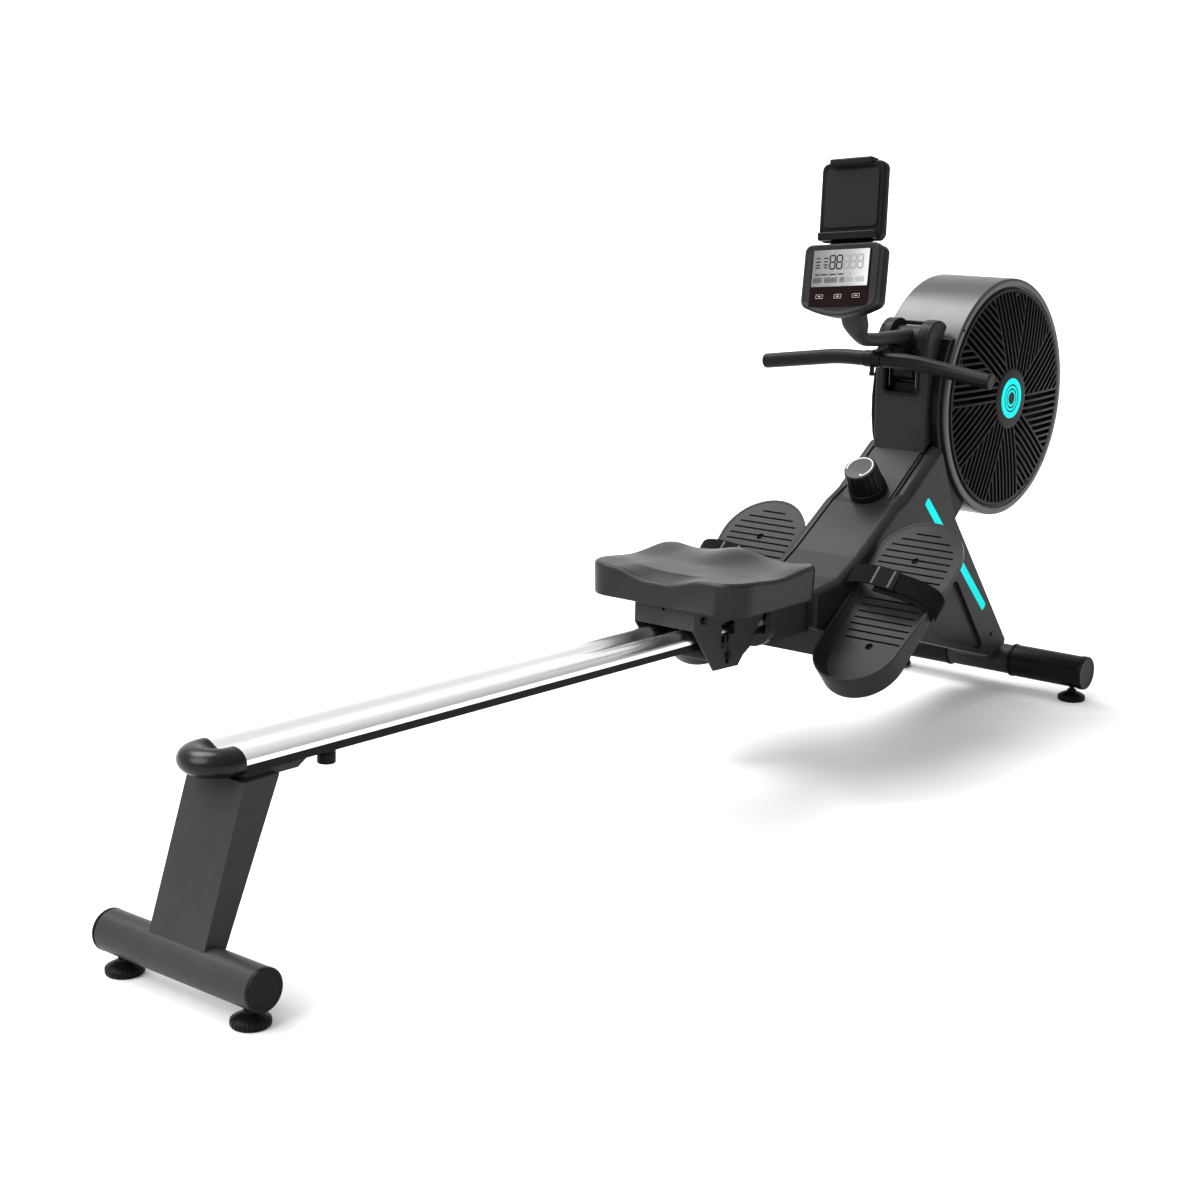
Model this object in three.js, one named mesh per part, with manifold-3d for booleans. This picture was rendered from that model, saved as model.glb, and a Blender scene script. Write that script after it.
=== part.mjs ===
// An air rowing machine: a sloping aluminium rail with a rolling seat, a fan with a magnetic
// brake, a pull handle on a strap, two footplates and a monitor on a folding arm.
// Millimetres, +X towards the fan, +Y to the rower's left, +Z up. Stations along X are measured
// from the axis of the rear stabiliser; the whole machine is then centred over the origin.
import * as THREE from "three";
import { mergeVertices } from "three/addons/utils/BufferGeometryUtils.js";
import Module from "manifold-3d";

const wasm = await Module();
wasm.setup();

// ---- driving dimensions -------------------------------------------------------------------
const GAP = 0.3; // clearance between touching pieces
const WALL = 3; // moulded and sheet-metal wall

const REAR = { x: 0, z: 55.4, r: 30, half: 158.5, footY: 128 };
const FRONT = { x: 2113.4, z: 60.3, r: 30, half: 235.2, footY: 204, sleeveR: 32.4, sleeveY: 70 };
const FOOT_R = 27.3;

const RAIL_SLOPE = THREE.MathUtils.degToRad(1.18);
const RAIL = { start: 72, end: 1330, half: 51, underside: 302.3, trackBase: 315.6, hump: 335.6, humpY: 28 };

const STOP = { station: 233, y: 29, r: 13, low: 281 };
const SEAT = { rear: 1000, front: 1240, half: 160, underside: 377.6, height: 58 };
const CARRIAGE = { rear: 1020, front: 1222, outer: 62, plate: 3, top: 377.2 };
const WHEEL_R = 18.6;
const WHEEL_STATIONS = { rear: 1046, front: 1190 };
const ROLLER = { station: 1117, r: 17, half: 45 };
const AXLE_R = 4;

const BEAM = { start: 1256.3, end: 1700, half: 58, low: 258, high: 329 };
const BODY_HALF = 80; // outer face of each side shell
const COVER_HALF = 59.4; // half-width of the sloping deck between the shell rims

const FAN = { x: 2000, z: 614, drumR: 231.1, drumHalf: 79.3, wall: 3 };
const GRILLE = { r: 213, hubR: 57, rimY: 79, hubY: 90.3, thick: 4, slotR: 206, sectors: 10, slotWidth: 20 };
const FORK = { inner: 62, outer: 66, halfWidth: 30 };
const SHAFT_R = 8;
const WHEEL = { r: 203, inner: 70, y0: -58, y1: -20, blades: 14 };
const FLYWHEEL = { r: 150, y0: 24, y1: 32 };
const SPOOL = { core: 44, flange: 56, half: 15, flangeThick: 3 };
const SHROUD = { r: 247, half: 72 };
const YOKE = { x: 1858, z: 466, pinR: 5 };

const COLUMN = { front: 1737, half: 55.5, earR: 39.5, earZ: 737.5, earInner: 31 };
const GUIDE = { x: 1757.5, z: 678, r: 14.5, half: 20 };
const STRAP = { half: 12.5, thick: 1.6, endX: 1737, endZ: 721 };

const HANDLE = { x: 1642, midZ: 712, tipZ: 689.5, bendY: 78, half: 243, tubeR: 11, gripR: 14 };
const ARM = { pivotX: 1776.5, pivotZ: 740, z: 747.5, r: 12.5 };
const ARM_BARREL_R = 23.5;
const CONSOLE = { x: 1515, z: 883, tilt: 14.3, roll: 5.2, half: 78, top: 45, depth: 45 };
const HOLDER = { tilt: -3.8, half: 65, low: 1, height: 142, depth: 24 };

const PEDAL = { x: 1534, y: 169, z: 373, pitch: 42, toeR: 88, heelR: 80, spacing: 220, floor: 10 };
const PEDAL_STRAP = { rear: -91, front: -53, reach: 88.6, rise: 50, thick: 2, spring: 8 };
const CROSSBAR = { x0: 1436, x1: 1486, z0: 193, z1: 243, half: 196 };
const DECK_PITCH = 35.3; // slope of the upper deck, which carries the knob
const KNOB = { x: 1640, z: 465.4, topR: 30.4, baseR: 34.4, skirtR: 36, skirtTop: 14, height: 61, shaftR: 4 };

// ---- materials ----------------------------------------------------------------------------
const material = (color, roughness, metalness = 0) =>
  new THREE.MeshStandardMaterial({ color, roughness, metalness });
const STEEL_BLACK = material(0x2b2c2e, 0.5, 0.3);
const PLASTIC = material(0x262728, 0.6);
const PLASTIC_DARK = material(0x161617, 0.55);
const RUBBER = material(0x101010, 0.8);
const ALUMINIUM = material(0xc9cbcd, 0.35, 0.9);
const STEEL_BRIGHT = material(0x9a9c9e, 0.35, 0.9);
const VINYL = material(0x2a2a2b, 0.7);
const WEBBING = material(0x0f0f10, 0.95);
const GLASS = material(0x9fa3a5, 0.25);

// ---- solids ---------------------------------------------------------------------------------
// A closed three.js geometry as a manifold solid.
function solid(geometry) {
  const bare = geometry.clone();
  for (const key of Object.keys(bare.attributes)) if (key !== "position") bare.deleteAttribute(key);
  const merged = mergeVertices(bare, 1e-4);
  return new wasm.Manifold(
    new wasm.Mesh({
      numProp: 3,
      vertProperties: merged.attributes.position.array,
      triVerts: new Uint32Array(merged.index.array),
    }),
  );
}

function geometryOf(manifold) {
  const mesh = manifold.getMesh();
  const geometry = new THREE.BufferGeometry();
  geometry.setAttribute("position", new THREE.BufferAttribute(mesh.vertProperties, 3));
  geometry.setIndex(new THREE.BufferAttribute(mesh.triVerts, 1));
  geometry.computeVertexNormals();
  return geometry;
}

const joined = (first, ...others) => others.reduce((whole, next) => whole.add(next), first);
const cut = (first, ...others) => others.reduce((whole, next) => whole.subtract(next), first);

// A block between two opposite corners.
function block(x0, x1, y0, y1, z0, z1) {
  const box = new THREE.BoxGeometry(x1 - x0, y1 - y0, z1 - z0);
  return solid(box.translate((x0 + x1) / 2, (y0 + y1) / 2, (z0 + z1) / 2));
}

// A shape from its corner points; a shape is passed through.
const outline = (points) =>
  points instanceof THREE.Shape ? points : new THREE.Shape(points.map(([u, v]) => new THREE.Vector2(u, v)));
const extruded = (shape, depth) => (
  new THREE.ExtrudeGeometry(shape, { depth, bevelEnabled: false, curveSegments: 6 })
);

// A prism whose outline lies in the XZ plane and runs from y0 to y1.
const prismY = (shape, y0, y1) =>
  solid(extruded(outline(shape), y1 - y0).rotateX(Math.PI / 2).translate(0, y1, 0));

// A prism whose outline lies in the YZ plane and runs from x0 to x1.
const YZ_TO_X = new THREE.Matrix4().set(0, 0, 1, 0, 1, 0, 0, 0, 0, 1, 0, 0, 0, 0, 0, 1);
const prismX = (shape, x0, x1) =>
  solid(extruded(outline(shape), x1 - x0).applyMatrix4(YZ_TO_X).translate(x0, 0, 0));

// A prism whose outline lies in the XY plane and runs from z0 to z1.
const prismZ = (shape, z0, z1) =>
  solid(extruded(outline(shape), z1 - z0).translate(0, 0, z0));

const rodY = (r, x, z, y0, y1, sides = 20) =>
  solid(new THREE.CylinderGeometry(r, r, y1 - y0, sides).translate(x, (y0 + y1) / 2, z));
const rodZ = (r, x, y, z0, z1, sides = 24) =>
  solid(new THREE.CylinderGeometry(r, r, z1 - z0, sides).rotateX(Math.PI / 2).translate(x, y, (z0 + z1) / 2));
const rodX = (r, y, z, x0, x1, sides = 24) =>
  solid(new THREE.CylinderGeometry(r, r, x1 - x0, sides).rotateZ(Math.PI / 2).translate((x0 + x1) / 2, y, z));

// A turned piece about Z from a profile of [radius, z] points that starts and ends on the axis.
const turnedZ = (profile, sides = 16) =>
  solid(new THREE.LatheGeometry(profile.map(([r, z]) => new THREE.Vector2(r, z)), sides).rotateX(Math.PI / 2));

// A turned piece about Y from a profile of [radius, y] points that starts and ends on the axis.
const turnedY = (profile, sides) =>
  solid(new THREE.LatheGeometry(profile.map(([r, y]) => new THREE.Vector2(r, y)), sides));

// A rectangle with rounded corners, centred at (u, v).
function roundedRect(u, v, halfU, halfV, r) {
  const s = new THREE.Shape();
  s.moveTo(u - halfU + r, v - halfV);
  s.lineTo(u + halfU - r, v - halfV);
  s.absarc(u + halfU - r, v - halfV + r, r, -Math.PI / 2, 0);
  s.lineTo(u + halfU, v + halfV - r);
  s.absarc(u + halfU - r, v + halfV - r, r, 0, Math.PI / 2);
  s.lineTo(u - halfU + r, v + halfV);
  s.absarc(u - halfU + r, v + halfV - r, r, Math.PI / 2, Math.PI);
  s.lineTo(u - halfU, v - halfV + r);
  s.absarc(u - halfU + r, v - halfV + r, r, Math.PI, 1.5 * Math.PI);
  return s;
}

// ---- assembly -------------------------------------------------------------------------------
const machine = new THREE.Group();
machine.position.x = (REAR.r - (FAN.x + FAN.drumR)) / 2;
const rowingMachine = new THREE.Group();
rowingMachine.add(machine);

function add(name, piece, finish, parent = machine) {
  const mesh = new THREE.Mesh(geometryOf(piece), finish);
  mesh.name = name;
  parent.add(mesh);
  return mesh;
}

const SIDES = { right: -1, left: 1 };
// Calls build with each side's name and sign; right is -Y.
const eachSide = (build) => Object.entries(SIDES).forEach(([side, sign]) => build(side, sign));
// A span on one side, given by its distances from the middle plane.
const span = (sign, near, far) => (sign > 0 ? [near, far] : [-far, -near]);

// ---- stabilisers and levelling feet ---------------------------------------------------------
function stabilizerTube(bar, half) {
  const tube = cut(
    rodY(bar.r, bar.x, bar.z, -half, half),
    rodY(bar.r - 2.5, bar.x, bar.z, -half - 1, half + 1),
  );
  const stemHoles = Object.values(SIDES).map((s) => rodZ(5.6, bar.x, s * bar.footY, 15, bar.z - 10, 12));
  return cut(tube, ...stemHoles);
}

function levellingFoot(name, bar, sign, outerR) {
  const seat = bar.z - outerR - 0.6;
  const foot = turnedZ([
    [0, 0], [FOOT_R - 1.5, 0], [FOOT_R, 2], [FOOT_R, 10.5], [11, 18.5], [8, 18.5],
    [8, seat], [5, seat], [5, seat + 17], [0, seat + 17],
  ]);
  add(name, foot.translate(bar.x, sign * bar.footY, 0), PLASTIC_DARK);
}

function stabilizers() {
  const flange = 5.7;
  add("rear_stabilizer_tube", stabilizerTube(REAR, REAR.half - flange - GAP), STEEL_BLACK);
  add("front_stabilizer_tube", stabilizerTube(FRONT, FRONT.half - flange - GAP), STEEL_BLACK);
  eachSide((side, sign) => {
    const plug = joined(
      rodY(REAR.r, REAR.x, REAR.z, ...span(sign, REAR.half - flange, REAR.half)),
      rodY(REAR.r - 2.8, REAR.x, REAR.z, ...span(sign, REAR.half - flange - 16, REAR.half - flange + 1)),
    );
    add(`rear_end_cap_${side}`, plug, PLASTIC_DARK);

    const boot = cut(
      joined(
        rodY(FRONT.sleeveR, FRONT.x, FRONT.z, ...span(sign, FRONT.sleeveY, FRONT.half - flange)),
        rodY(FRONT.sleeveR + 1, FRONT.x, FRONT.z, ...span(sign, FRONT.half - flange - 1, FRONT.half)),
      ),
      rodY(FRONT.r + GAP, FRONT.x, FRONT.z, ...span(sign, FRONT.sleeveY - 1, FRONT.half - flange)),
      rodZ(5.6, FRONT.x, sign * FRONT.footY, 15, FRONT.z - 10, 12),
    );
    add(`front_end_sleeve_${side}`, boot, PLASTIC);
    levellingFoot(`rear_foot_${side}`, REAR, sign, REAR.r);
    levellingFoot(`front_foot_${side}`, FRONT, sign, FRONT.sleeveR);
  });
}

// ---- rear post and rail ---------------------------------------------------------------------
// Height of a line that follows the rail's slope, at station x.
const sloping = (h, x) => h - Math.tan(RAIL_SLOPE) * x;

function rearPost() {
  const rearFace = (z) => -13 + (z - 83) * 0.3624;
  const frontFace = (z) => 24 + (z - 78) * 0.4633;
  const wedge = (low, high, inset) => [
    [rearFace(low) + inset, low], [frontFace(low) - inset, low],
    [frontFace(high) - inset, high], [rearFace(high) + inset, high],
  ];
  const plateTop = RAIL.underside - GAP;
  const bracket = [
    [74, sloping(plateTop - 10, 74)], [166, sloping(plateTop - 10, 166)],
    [182, sloping(plateTop, 182)], [74, sloping(plateTop, 74)],
  ];
  const post = cut(prismY(wedge(58, 293, 0), -56, 56), prismY(wedge(40, 287, WALL), -56 + WALL, 56 - WALL));
  add(
    "rear_post",
    cut(joined(post, prismY(bracket, -45, 45)), rodY(REAR.r + GAP, REAR.x, REAR.z, -70, 70)),
    STEEL_BLACK,
  );
}

// Height of the running surface across the rail: two rounded humps with a shallow valley.
function trackHeight(y) {
  const d = Math.abs(y);
  const valley = 326;
  if (d <= RAIL.humpY) return valley + (RAIL.hump - valley) * (0.5 - 0.5 * Math.cos((Math.PI * d) / RAIL.humpY));
  const t = (d - RAIL.humpY) / (RAIL.half - RAIL.humpY);
  return 320 + (RAIL.hump - 320) * Math.sqrt(1 - t * t);
}

function railParts(rail) {
  const steps = 16;
  const across = Array.from({ length: steps + 1 }, (_, i) => RAIL.half * Math.sin(Math.PI * (i / steps - 0.5)));
  const top = across.map((y) => [y, trackHeight(y)]);
  const skin = 4;
  const under = [...across].reverse().filter((y) => Math.abs(y) < RAIL.half - skin)
    .map((y) => [y, Math.max(trackHeight(y) - skin, RAIL.trackBase + 1)]);
  const profile = [
    [-RAIL.half, RAIL.trackBase], ...top, [RAIL.half, RAIL.trackBase],
    [RAIL.half - skin, RAIL.trackBase], ...under, [-RAIL.half + skin, RAIL.trackBase],
  ];
  add("rail_track", prismX(profile.reverse(), RAIL.start, RAIL.end), ALUMINIUM, rail);

  const half = RAIL.half - 3;
  const channel = cut(
    block(RAIL.start, RAIL.end, -half, half, RAIL.underside, RAIL.trackBase - GAP),
    block(RAIL.start - 1, RAIL.end + 1, -half + WALL, half - WALL, RAIL.underside + WALL, RAIL.trackBase + 1),
  );
  add("rail_channel", channel, STEEL_BLACK, rail);

  const nose = new THREE.Shape();
  const tip = 13;
  const corner = 42;
  const capHalf = RAIL.half + 1;
  nose.moveTo(RAIL.start - GAP, -capHalf);
  nose.lineTo(RAIL.start - GAP, capHalf);
  nose.lineTo(tip + corner, capHalf);
  nose.absarc(tip + corner, capHalf - corner, corner, Math.PI / 2, Math.PI);
  nose.lineTo(tip, -capHalf + corner);
  nose.absarc(tip + corner, -capHalf + corner, corner, Math.PI, 1.5 * Math.PI);
  add("rail_end_cap", prismZ(nose, 299, 334), RUBBER, rail);
  eachSide((side, sign) => {
    const bumper = rodZ(STOP.r, STOP.station, sign * STOP.y, STOP.low, RAIL.underside - GAP, 16);
    add(`seat_stop_${side}`, bumper, RUBBER, rail);
  });
}

// ---- seat -------------------------------------------------------------------------------------
function seatParts(rail) {
  const { rear, front, outer, plate, top } = CARRIAGE;
  const inner = outer - plate;
  const cheek = [
    [rear, top], [rear, 339], [1079, 264], [1148, 262], [1162, 278], [1181, 288], [1199, 318],
    [front, 342], [front, top],
  ];
  const window = block(1111, 1133, -outer - 1, outer + 1, 322, 343);
  const slot = block(1112.7, 1121.3, -outer - 1, outer + 1, 280.7, 323);
  const axleHoles = Object.values(WHEEL_STATIONS).map((s) =>
    rodY(AXLE_R + GAP, s, RAIL.hump + GAP + WHEEL_R, -outer - 1, outer + 1, 16));
  const carriage = cut(
    joined(
      block(rear, front, -outer, outer, top - plate, top),
      block(rear, rear + plate, -outer, outer, 340, top),
      prismY(cheek, -outer, -inner),
      prismY(cheek, inner, outer),
    ),
    window,
    slot,
    ...axleHoles,
  );
  add("seat_carriage", carriage, STEEL_BLACK, rail);

  const length = SEAT.front - SEAT.rear;
  const plan = roundedRect(SEAT.rear + length / 2, 0, length / 2, SEAT.half, 50);
  add("seat_pad", prismZ(plan, SEAT.underside, SEAT.underside + SEAT.height), VINYL, rail);

  const wheelZ = RAIL.hump + GAP + WHEEL_R;
  for (const [end, station] of Object.entries(WHEEL_STATIONS)) {
    const axle = joined(
      rodY(AXLE_R, station, wheelZ, -outer - 1, outer + 1, 16),
      rodY(7, station, wheelZ, -outer - 4.5, -outer - GAP, 6),
      rodY(7, station, wheelZ, outer + GAP, outer + 4.5, 6),
    );
    add(`seat_axle_${end}`, axle, STEEL_BRIGHT, rail);
    eachSide((side, sign) => {
      const width = span(sign, RAIL.humpY - 11, RAIL.humpY + 11);
      const bore = rodY(AXLE_R + GAP, station, wheelZ, width[0] - 1, width[1] + 1, 16);
      add(`seat_wheel_${end}_${side}`, cut(rodY(WHEEL_R, station, wheelZ, ...width, 20), bore), RUBBER, rail);
    });
  }
  const rollerZ = RAIL.underside - GAP - ROLLER.r;
  const roller = joined(
    rodY(ROLLER.r, ROLLER.station, rollerZ, -ROLLER.half, ROLLER.half),
    rodY(AXLE_R, ROLLER.station, rollerZ, -outer - 1, outer + 1, 16),
    rodY(7, ROLLER.station, rollerZ, -outer - 4.5, -outer - GAP, 6),
    rodY(7, ROLLER.station, rollerZ, outer + GAP, outer + 4.5, 6),
  );
  add("seat_roller_lower", roller, RUBBER, rail);
}

// ---- main frame -------------------------------------------------------------------------------
// The strip that each fork plate follows, from the beam up to the fan's shaft.
function forkStrip(clearance) {
  const w = FORK.halfWidth + clearance;
  const foot = [1722, 322];
  const dx = FAN.x - foot[0];
  const dz = FAN.z - foot[1];
  const length = Math.hypot(dx, dz);
  const side = [(-dz / length) * w, (dx / length) * w];
  return [
    [foot[0] - side[0], foot[1] - side[1]], [FAN.x - side[0], FAN.z - side[1]],
    [FAN.x + side[0], FAN.z + side[1]], [foot[0] + side[0], foot[1] + side[1]],
  ];
}

function mainFrame() {
  const collar = new THREE.Shape();
  const collarHalf = 65;
  const collarR = 44;
  collar.moveTo(collarHalf, 338);
  collar.lineTo(-collarHalf, 338);
  collar.lineTo(-collarHalf, 247 + collarR);
  collar.absarc(-collarHalf + collarR, 247 + collarR, collarR, Math.PI, 1.5 * Math.PI);
  collar.lineTo(collarHalf - collarR, 247);
  collar.absarc(collarHalf - collarR, 247 + collarR, collarR, 1.5 * Math.PI, 2 * Math.PI);
  const railHole = block(1200, 1300, -RAIL.half - 0.6, RAIL.half + 0.6, 275.5, 311.5);
  add("rail_collar", cut(prismX(collar, 1238, 1256), railHole), PLASTIC);

  const beam = cut(
    block(BEAM.start, BEAM.end, -BEAM.half, BEAM.half, BEAM.low, BEAM.high),
    block(BEAM.start - 1, BEAM.end - WALL, -BEAM.half + WALL, BEAM.half - WALL, BEAM.low + WALL, BEAM.high - WALL),
  );
  const legOutline = (inset) => [
    [1640 + inset, 262 + inset], [2090, 56 + inset], [2118, 92 - inset], [1698 - inset, 322 - inset],
  ];
  const leg = cut(prismY(legOutline(0), -38, 38), prismY(legOutline(WALL), -38 + WALL, 38 - WALL));
  const forks = Object.values(SIDES).map((s) => prismY(forkStrip(0), ...span(s, FORK.inner, FORK.outer)));
  const ends = Object.values(SIDES).map((s) => (
    rodY(FORK.halfWidth, FAN.x, FAN.z, ...span(s, FORK.inner, FORK.outer))
  ));
  const ties = block(1688, 1700, -FORK.outer, FORK.outer, 290, 345)
    .add(block(1700, 1724, -FORK.outer, FORK.outer, 300, 345));
  const frame = cut(
    joined(beam, leg, ties, ...forks, ...ends),
    rodY(FRONT.r + GAP, FRONT.x, FRONT.z, -60, 60),
    rodY(SHAFT_R + GAP, FAN.x, FAN.z, -70, 70, 20),
    rodY(YOKE.pinR + GAP, YOKE.x, YOKE.z, 50, 70, 16),
  );
  add("main_frame", frame, STEEL_BLACK);
}

// ---- footplates -------------------------------------------------------------------------------
const DEG = Math.PI / 180;

// The footplate's plan: a wide toe circle and a narrower heel circle joined by their tangents.
function footplatePlan(inset) {
  const toe = PEDAL.toeR - inset;
  const heel = PEDAL.heelR - inset;
  const lean = Math.asin((PEDAL.toeR - PEDAL.heelR) / PEDAL.spacing);
  const shape = new THREE.Shape();
  shape.absarc(0, 0, toe, -Math.PI / 2 - lean, Math.PI / 2 + lean);
  shape.absarc(-PEDAL.spacing, 0, heel, Math.PI / 2 + lean, 1.5 * Math.PI - lean);
  return shape;
}

function pedalFrame() {
  const bar = cut(
    block(CROSSBAR.x0, CROSSBAR.x1, -CROSSBAR.half, CROSSBAR.half, CROSSBAR.z0, CROSSBAR.z1),
    block(CROSSBAR.x0 + WALL, CROSSBAR.x1 - WALL, -CROSSBAR.half - 1, CROSSBAR.half + 1,
      CROSSBAR.z0 + WALL, CROSSBAR.z1 - WALL),
  );
  const along = [Math.cos(PEDAL.pitch * DEG), Math.sin(PEDAL.pitch * DEG)];
  const behind = -PEDAL.floor - GAP;
  // A point s along the footplate from its upper bolt, and n out from its face.
  const at = (s, n) => [PEDAL.x + s * along[0] - n * along[1], PEDAL.z + s * along[1] + n * along[0]];
  const carrier = [at(-215, behind), at(-215, behind - 5), at(-150, behind - 5), at(20, behind - 5), at(20, behind)];
  const web = [at(-205, behind - 4), at(-30, behind - 4), [CROSSBAR.x1 - 2, CROSSBAR.z1 - 1],
    [CROSSBAR.x0 + 2, CROSSBAR.z0 + 4]];
  const carriers = Object.values(SIDES).flatMap((s) => [
    prismY([...carrier].reverse(), s * PEDAL.y - 30, s * PEDAL.y + 30),
    cut(prismY([...web].reverse(), s * PEDAL.y - 4, s * PEDAL.y + 4),
      block(CROSSBAR.x0 + WALL, CROSSBAR.x1 - WALL, -300, 300, CROSSBAR.z0 + WALL, CROSSBAR.z1 - WALL)),
  ]);
  add("pedal_frame", joined(bar, ...carriers), STEEL_BLACK);
}

function pedals() {
  const wall = 6;
  const rim = 44;
  eachSide((side, sign) => {
    const holder = new THREE.Group();
    holder.position.set(PEDAL.x, sign * PEDAL.y, PEDAL.z);
    holder.rotation.y = -PEDAL.pitch * DEG;
    machine.add(holder);

    const rimStart = -52;
    const heelEnd = -PEDAL.spacing - PEDAL.heelR - 10;
    const above = outline([[rimStart, 0], [200, 0], [200, 80], [heelEnd, 80], [heelEnd, rim]]);
    const tray = cut(
      prismZ(footplatePlan(0), -PEDAL.floor, rim),
      prismZ(footplatePlan(wall), 0, rim + 1),
      prismY(above, -150, 150),
    );
    const { rear, front, reach, rise, thick, spring } = PEDAL_STRAP;
    add(`pedal_${side}`, tray, PLASTIC, holder);

    const foot = -PEDAL.floor + 0.5;
    const arch = new THREE.Shape();
    arch.moveTo(reach, foot);
    arch.lineTo(reach, spring);
    arch.absellipse(0, spring, reach, rise, 0, Math.PI, false);
    arch.lineTo(-reach, foot);
    arch.lineTo(-reach + thick, foot);
    arch.lineTo(-reach + thick, spring);
    arch.absellipse(0, spring, reach - thick, rise - thick, Math.PI, 0, true);
    arch.lineTo(reach - thick, foot);
    add(`pedal_strap_${side}`, prismX(arch, rear, front), WEBBING, holder);
  });
}

// ---- body shells ------------------------------------------------------------------------------
const SHELL_OUTLINE = [
  [1355, 262], [1455, 255], [1784, 154], [1992, 92], [2061, 110], [1830, 397], [1763, 546],
  [1650, 466], [1609, 448], [1493, 374], [1428, 341], [1355, 335],
];
const RECESS_OUTLINE = [[1640, 235], [1784, 168], [1972, 108], [1848, 270], [1700, 300]];

// An outline moved inwards by d, corner by corner (anticlockwise outlines).
function inset(points, d) {
  return points.map((p, i) => {
    const a = points[(i + points.length - 1) % points.length];
    const b = points[(i + 1) % points.length];
    const e1 = new THREE.Vector2(p[0] - a[0], p[1] - a[1]).normalize();
    const e2 = new THREE.Vector2(b[0] - p[0], b[1] - p[1]).normalize();
    const n1 = new THREE.Vector2(-e1.y, e1.x);
    const n2 = new THREE.Vector2(-e2.y, e2.x);
    const k = d / (1 + n1.dot(n2));
    return [p[0] + (n1.x + n2.x) * k, p[1] + (n1.y + n2.y) * k];
  });
}

function shells() {
  eachSide((side, sign) => {
    const recessDepth = 8;
    const recess = prismY(RECESS_OUTLINE, ...span(sign, BODY_HALF - recessDepth, BODY_HALF + 5));
    const recessBack = prismY(inset(RECESS_OUTLINE, -WALL), ...span(sign, BODY_HALF - recessDepth - WALL, BODY_HALF + 5));
    const hollow = cut(
      prismY(inset(SHELL_OUTLINE, WALL + 1), ...span(sign, COVER_HALF, BODY_HALF - WALL)),
      recessBack,
    );
    const forkSlot = prismY(forkStrip(0.6), ...span(sign, FORK.inner - 0.6, FORK.outer + 0.6));
    const shell = cut(prismY(SHELL_OUTLINE, ...span(sign, COVER_HALF + GAP, BODY_HALF)), hollow, recess, forkSlot);
    add(`side_shell_${side}`, shell, PLASTIC);
  });

  const deck = SHELL_OUTLINE.slice(6).reverse().map(([x, z]) => [x, z - 2.5]);
  const deckTop = [[1357, 332.5], ...deck.slice(1, -1), [1757, deck[deck.length - 1][1] - 4]];
  const deckUnder = [...deckTop].reverse().map(([x, z]) => [x, z - WALL]);
  const slope = Math.tan(DECK_PITCH * DEG);
  const ledgeTop = (x) => KNOB.z - 0.4 + (x - KNOB.x) * slope;
  const ledgeEnd = COLUMN.front - 0.5;
  const ledge = [[1618, ledgeTop(1618) - 2], [ledgeEnd, ledgeTop(ledgeEnd) - 9], [ledgeEnd, ledgeTop(ledgeEnd)],
    [1618, ledgeTop(1618)]];
  const cover = joined(
    prismY([...deckTop, ...deckUnder].reverse(), -COVER_HALF, COVER_HALF),
    prismY(ledge, -50, 50),
  );
  const shaftHole = new THREE.CylinderGeometry(KNOB.shaftR + GAP, KNOB.shaftR + GAP, 60, 16)
    .rotateX(Math.PI / 2).rotateY(-DECK_PITCH * DEG).translate(KNOB.x, 0, KNOB.z);
  const knobSeat = new THREE.CylinderGeometry(KNOB.skirtR + 1, KNOB.skirtR + 1, 30, 32)
    .rotateX(Math.PI / 2).translate(0, 0, 15 - GAP).rotateY(-DECK_PITCH * DEG).translate(KNOB.x, 0, KNOB.z);
  add("top_cover", cut(cover, solid(shaftHole), solid(knobSeat)), PLASTIC);

  const under = [
    [1500, 244.5], [1784, 158], [1990, 96.6], [2056, 113], [1828, 396], [1822, 391], [2048, 116.5], [1990, 101],
    [1785, 161.8], [1501, 248.3],
  ];
  const legCover = cut(
    prismY(under, -COVER_HALF, COVER_HALF),
    prismY([[1640, 255], [2090, 49], [2128, 98], [1698, 329]], -38.6, 38.6),
  );
  add("leg_cover", legCover, PLASTIC);
}

// ---- column -----------------------------------------------------------------------------------
function strapPath(clearance) {
  const t = STRAP.thick / 2 + clearance;
  const guideTop = GUIDE.z + GUIDE.r + GAP + STRAP.thick / 2;
  const spoolR = SPOOL.core + GAP + STRAP.thick / 2;
  return [
    [STRAP.endX, STRAP.endZ - t], [GUIDE.x, guideTop - t], [FAN.x + 6, FAN.z + spoolR - t],
    [FAN.x + 6, FAN.z + spoolR + t], [GUIDE.x, guideTop + t], [STRAP.endX, STRAP.endZ + t],
  ];
}

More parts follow.
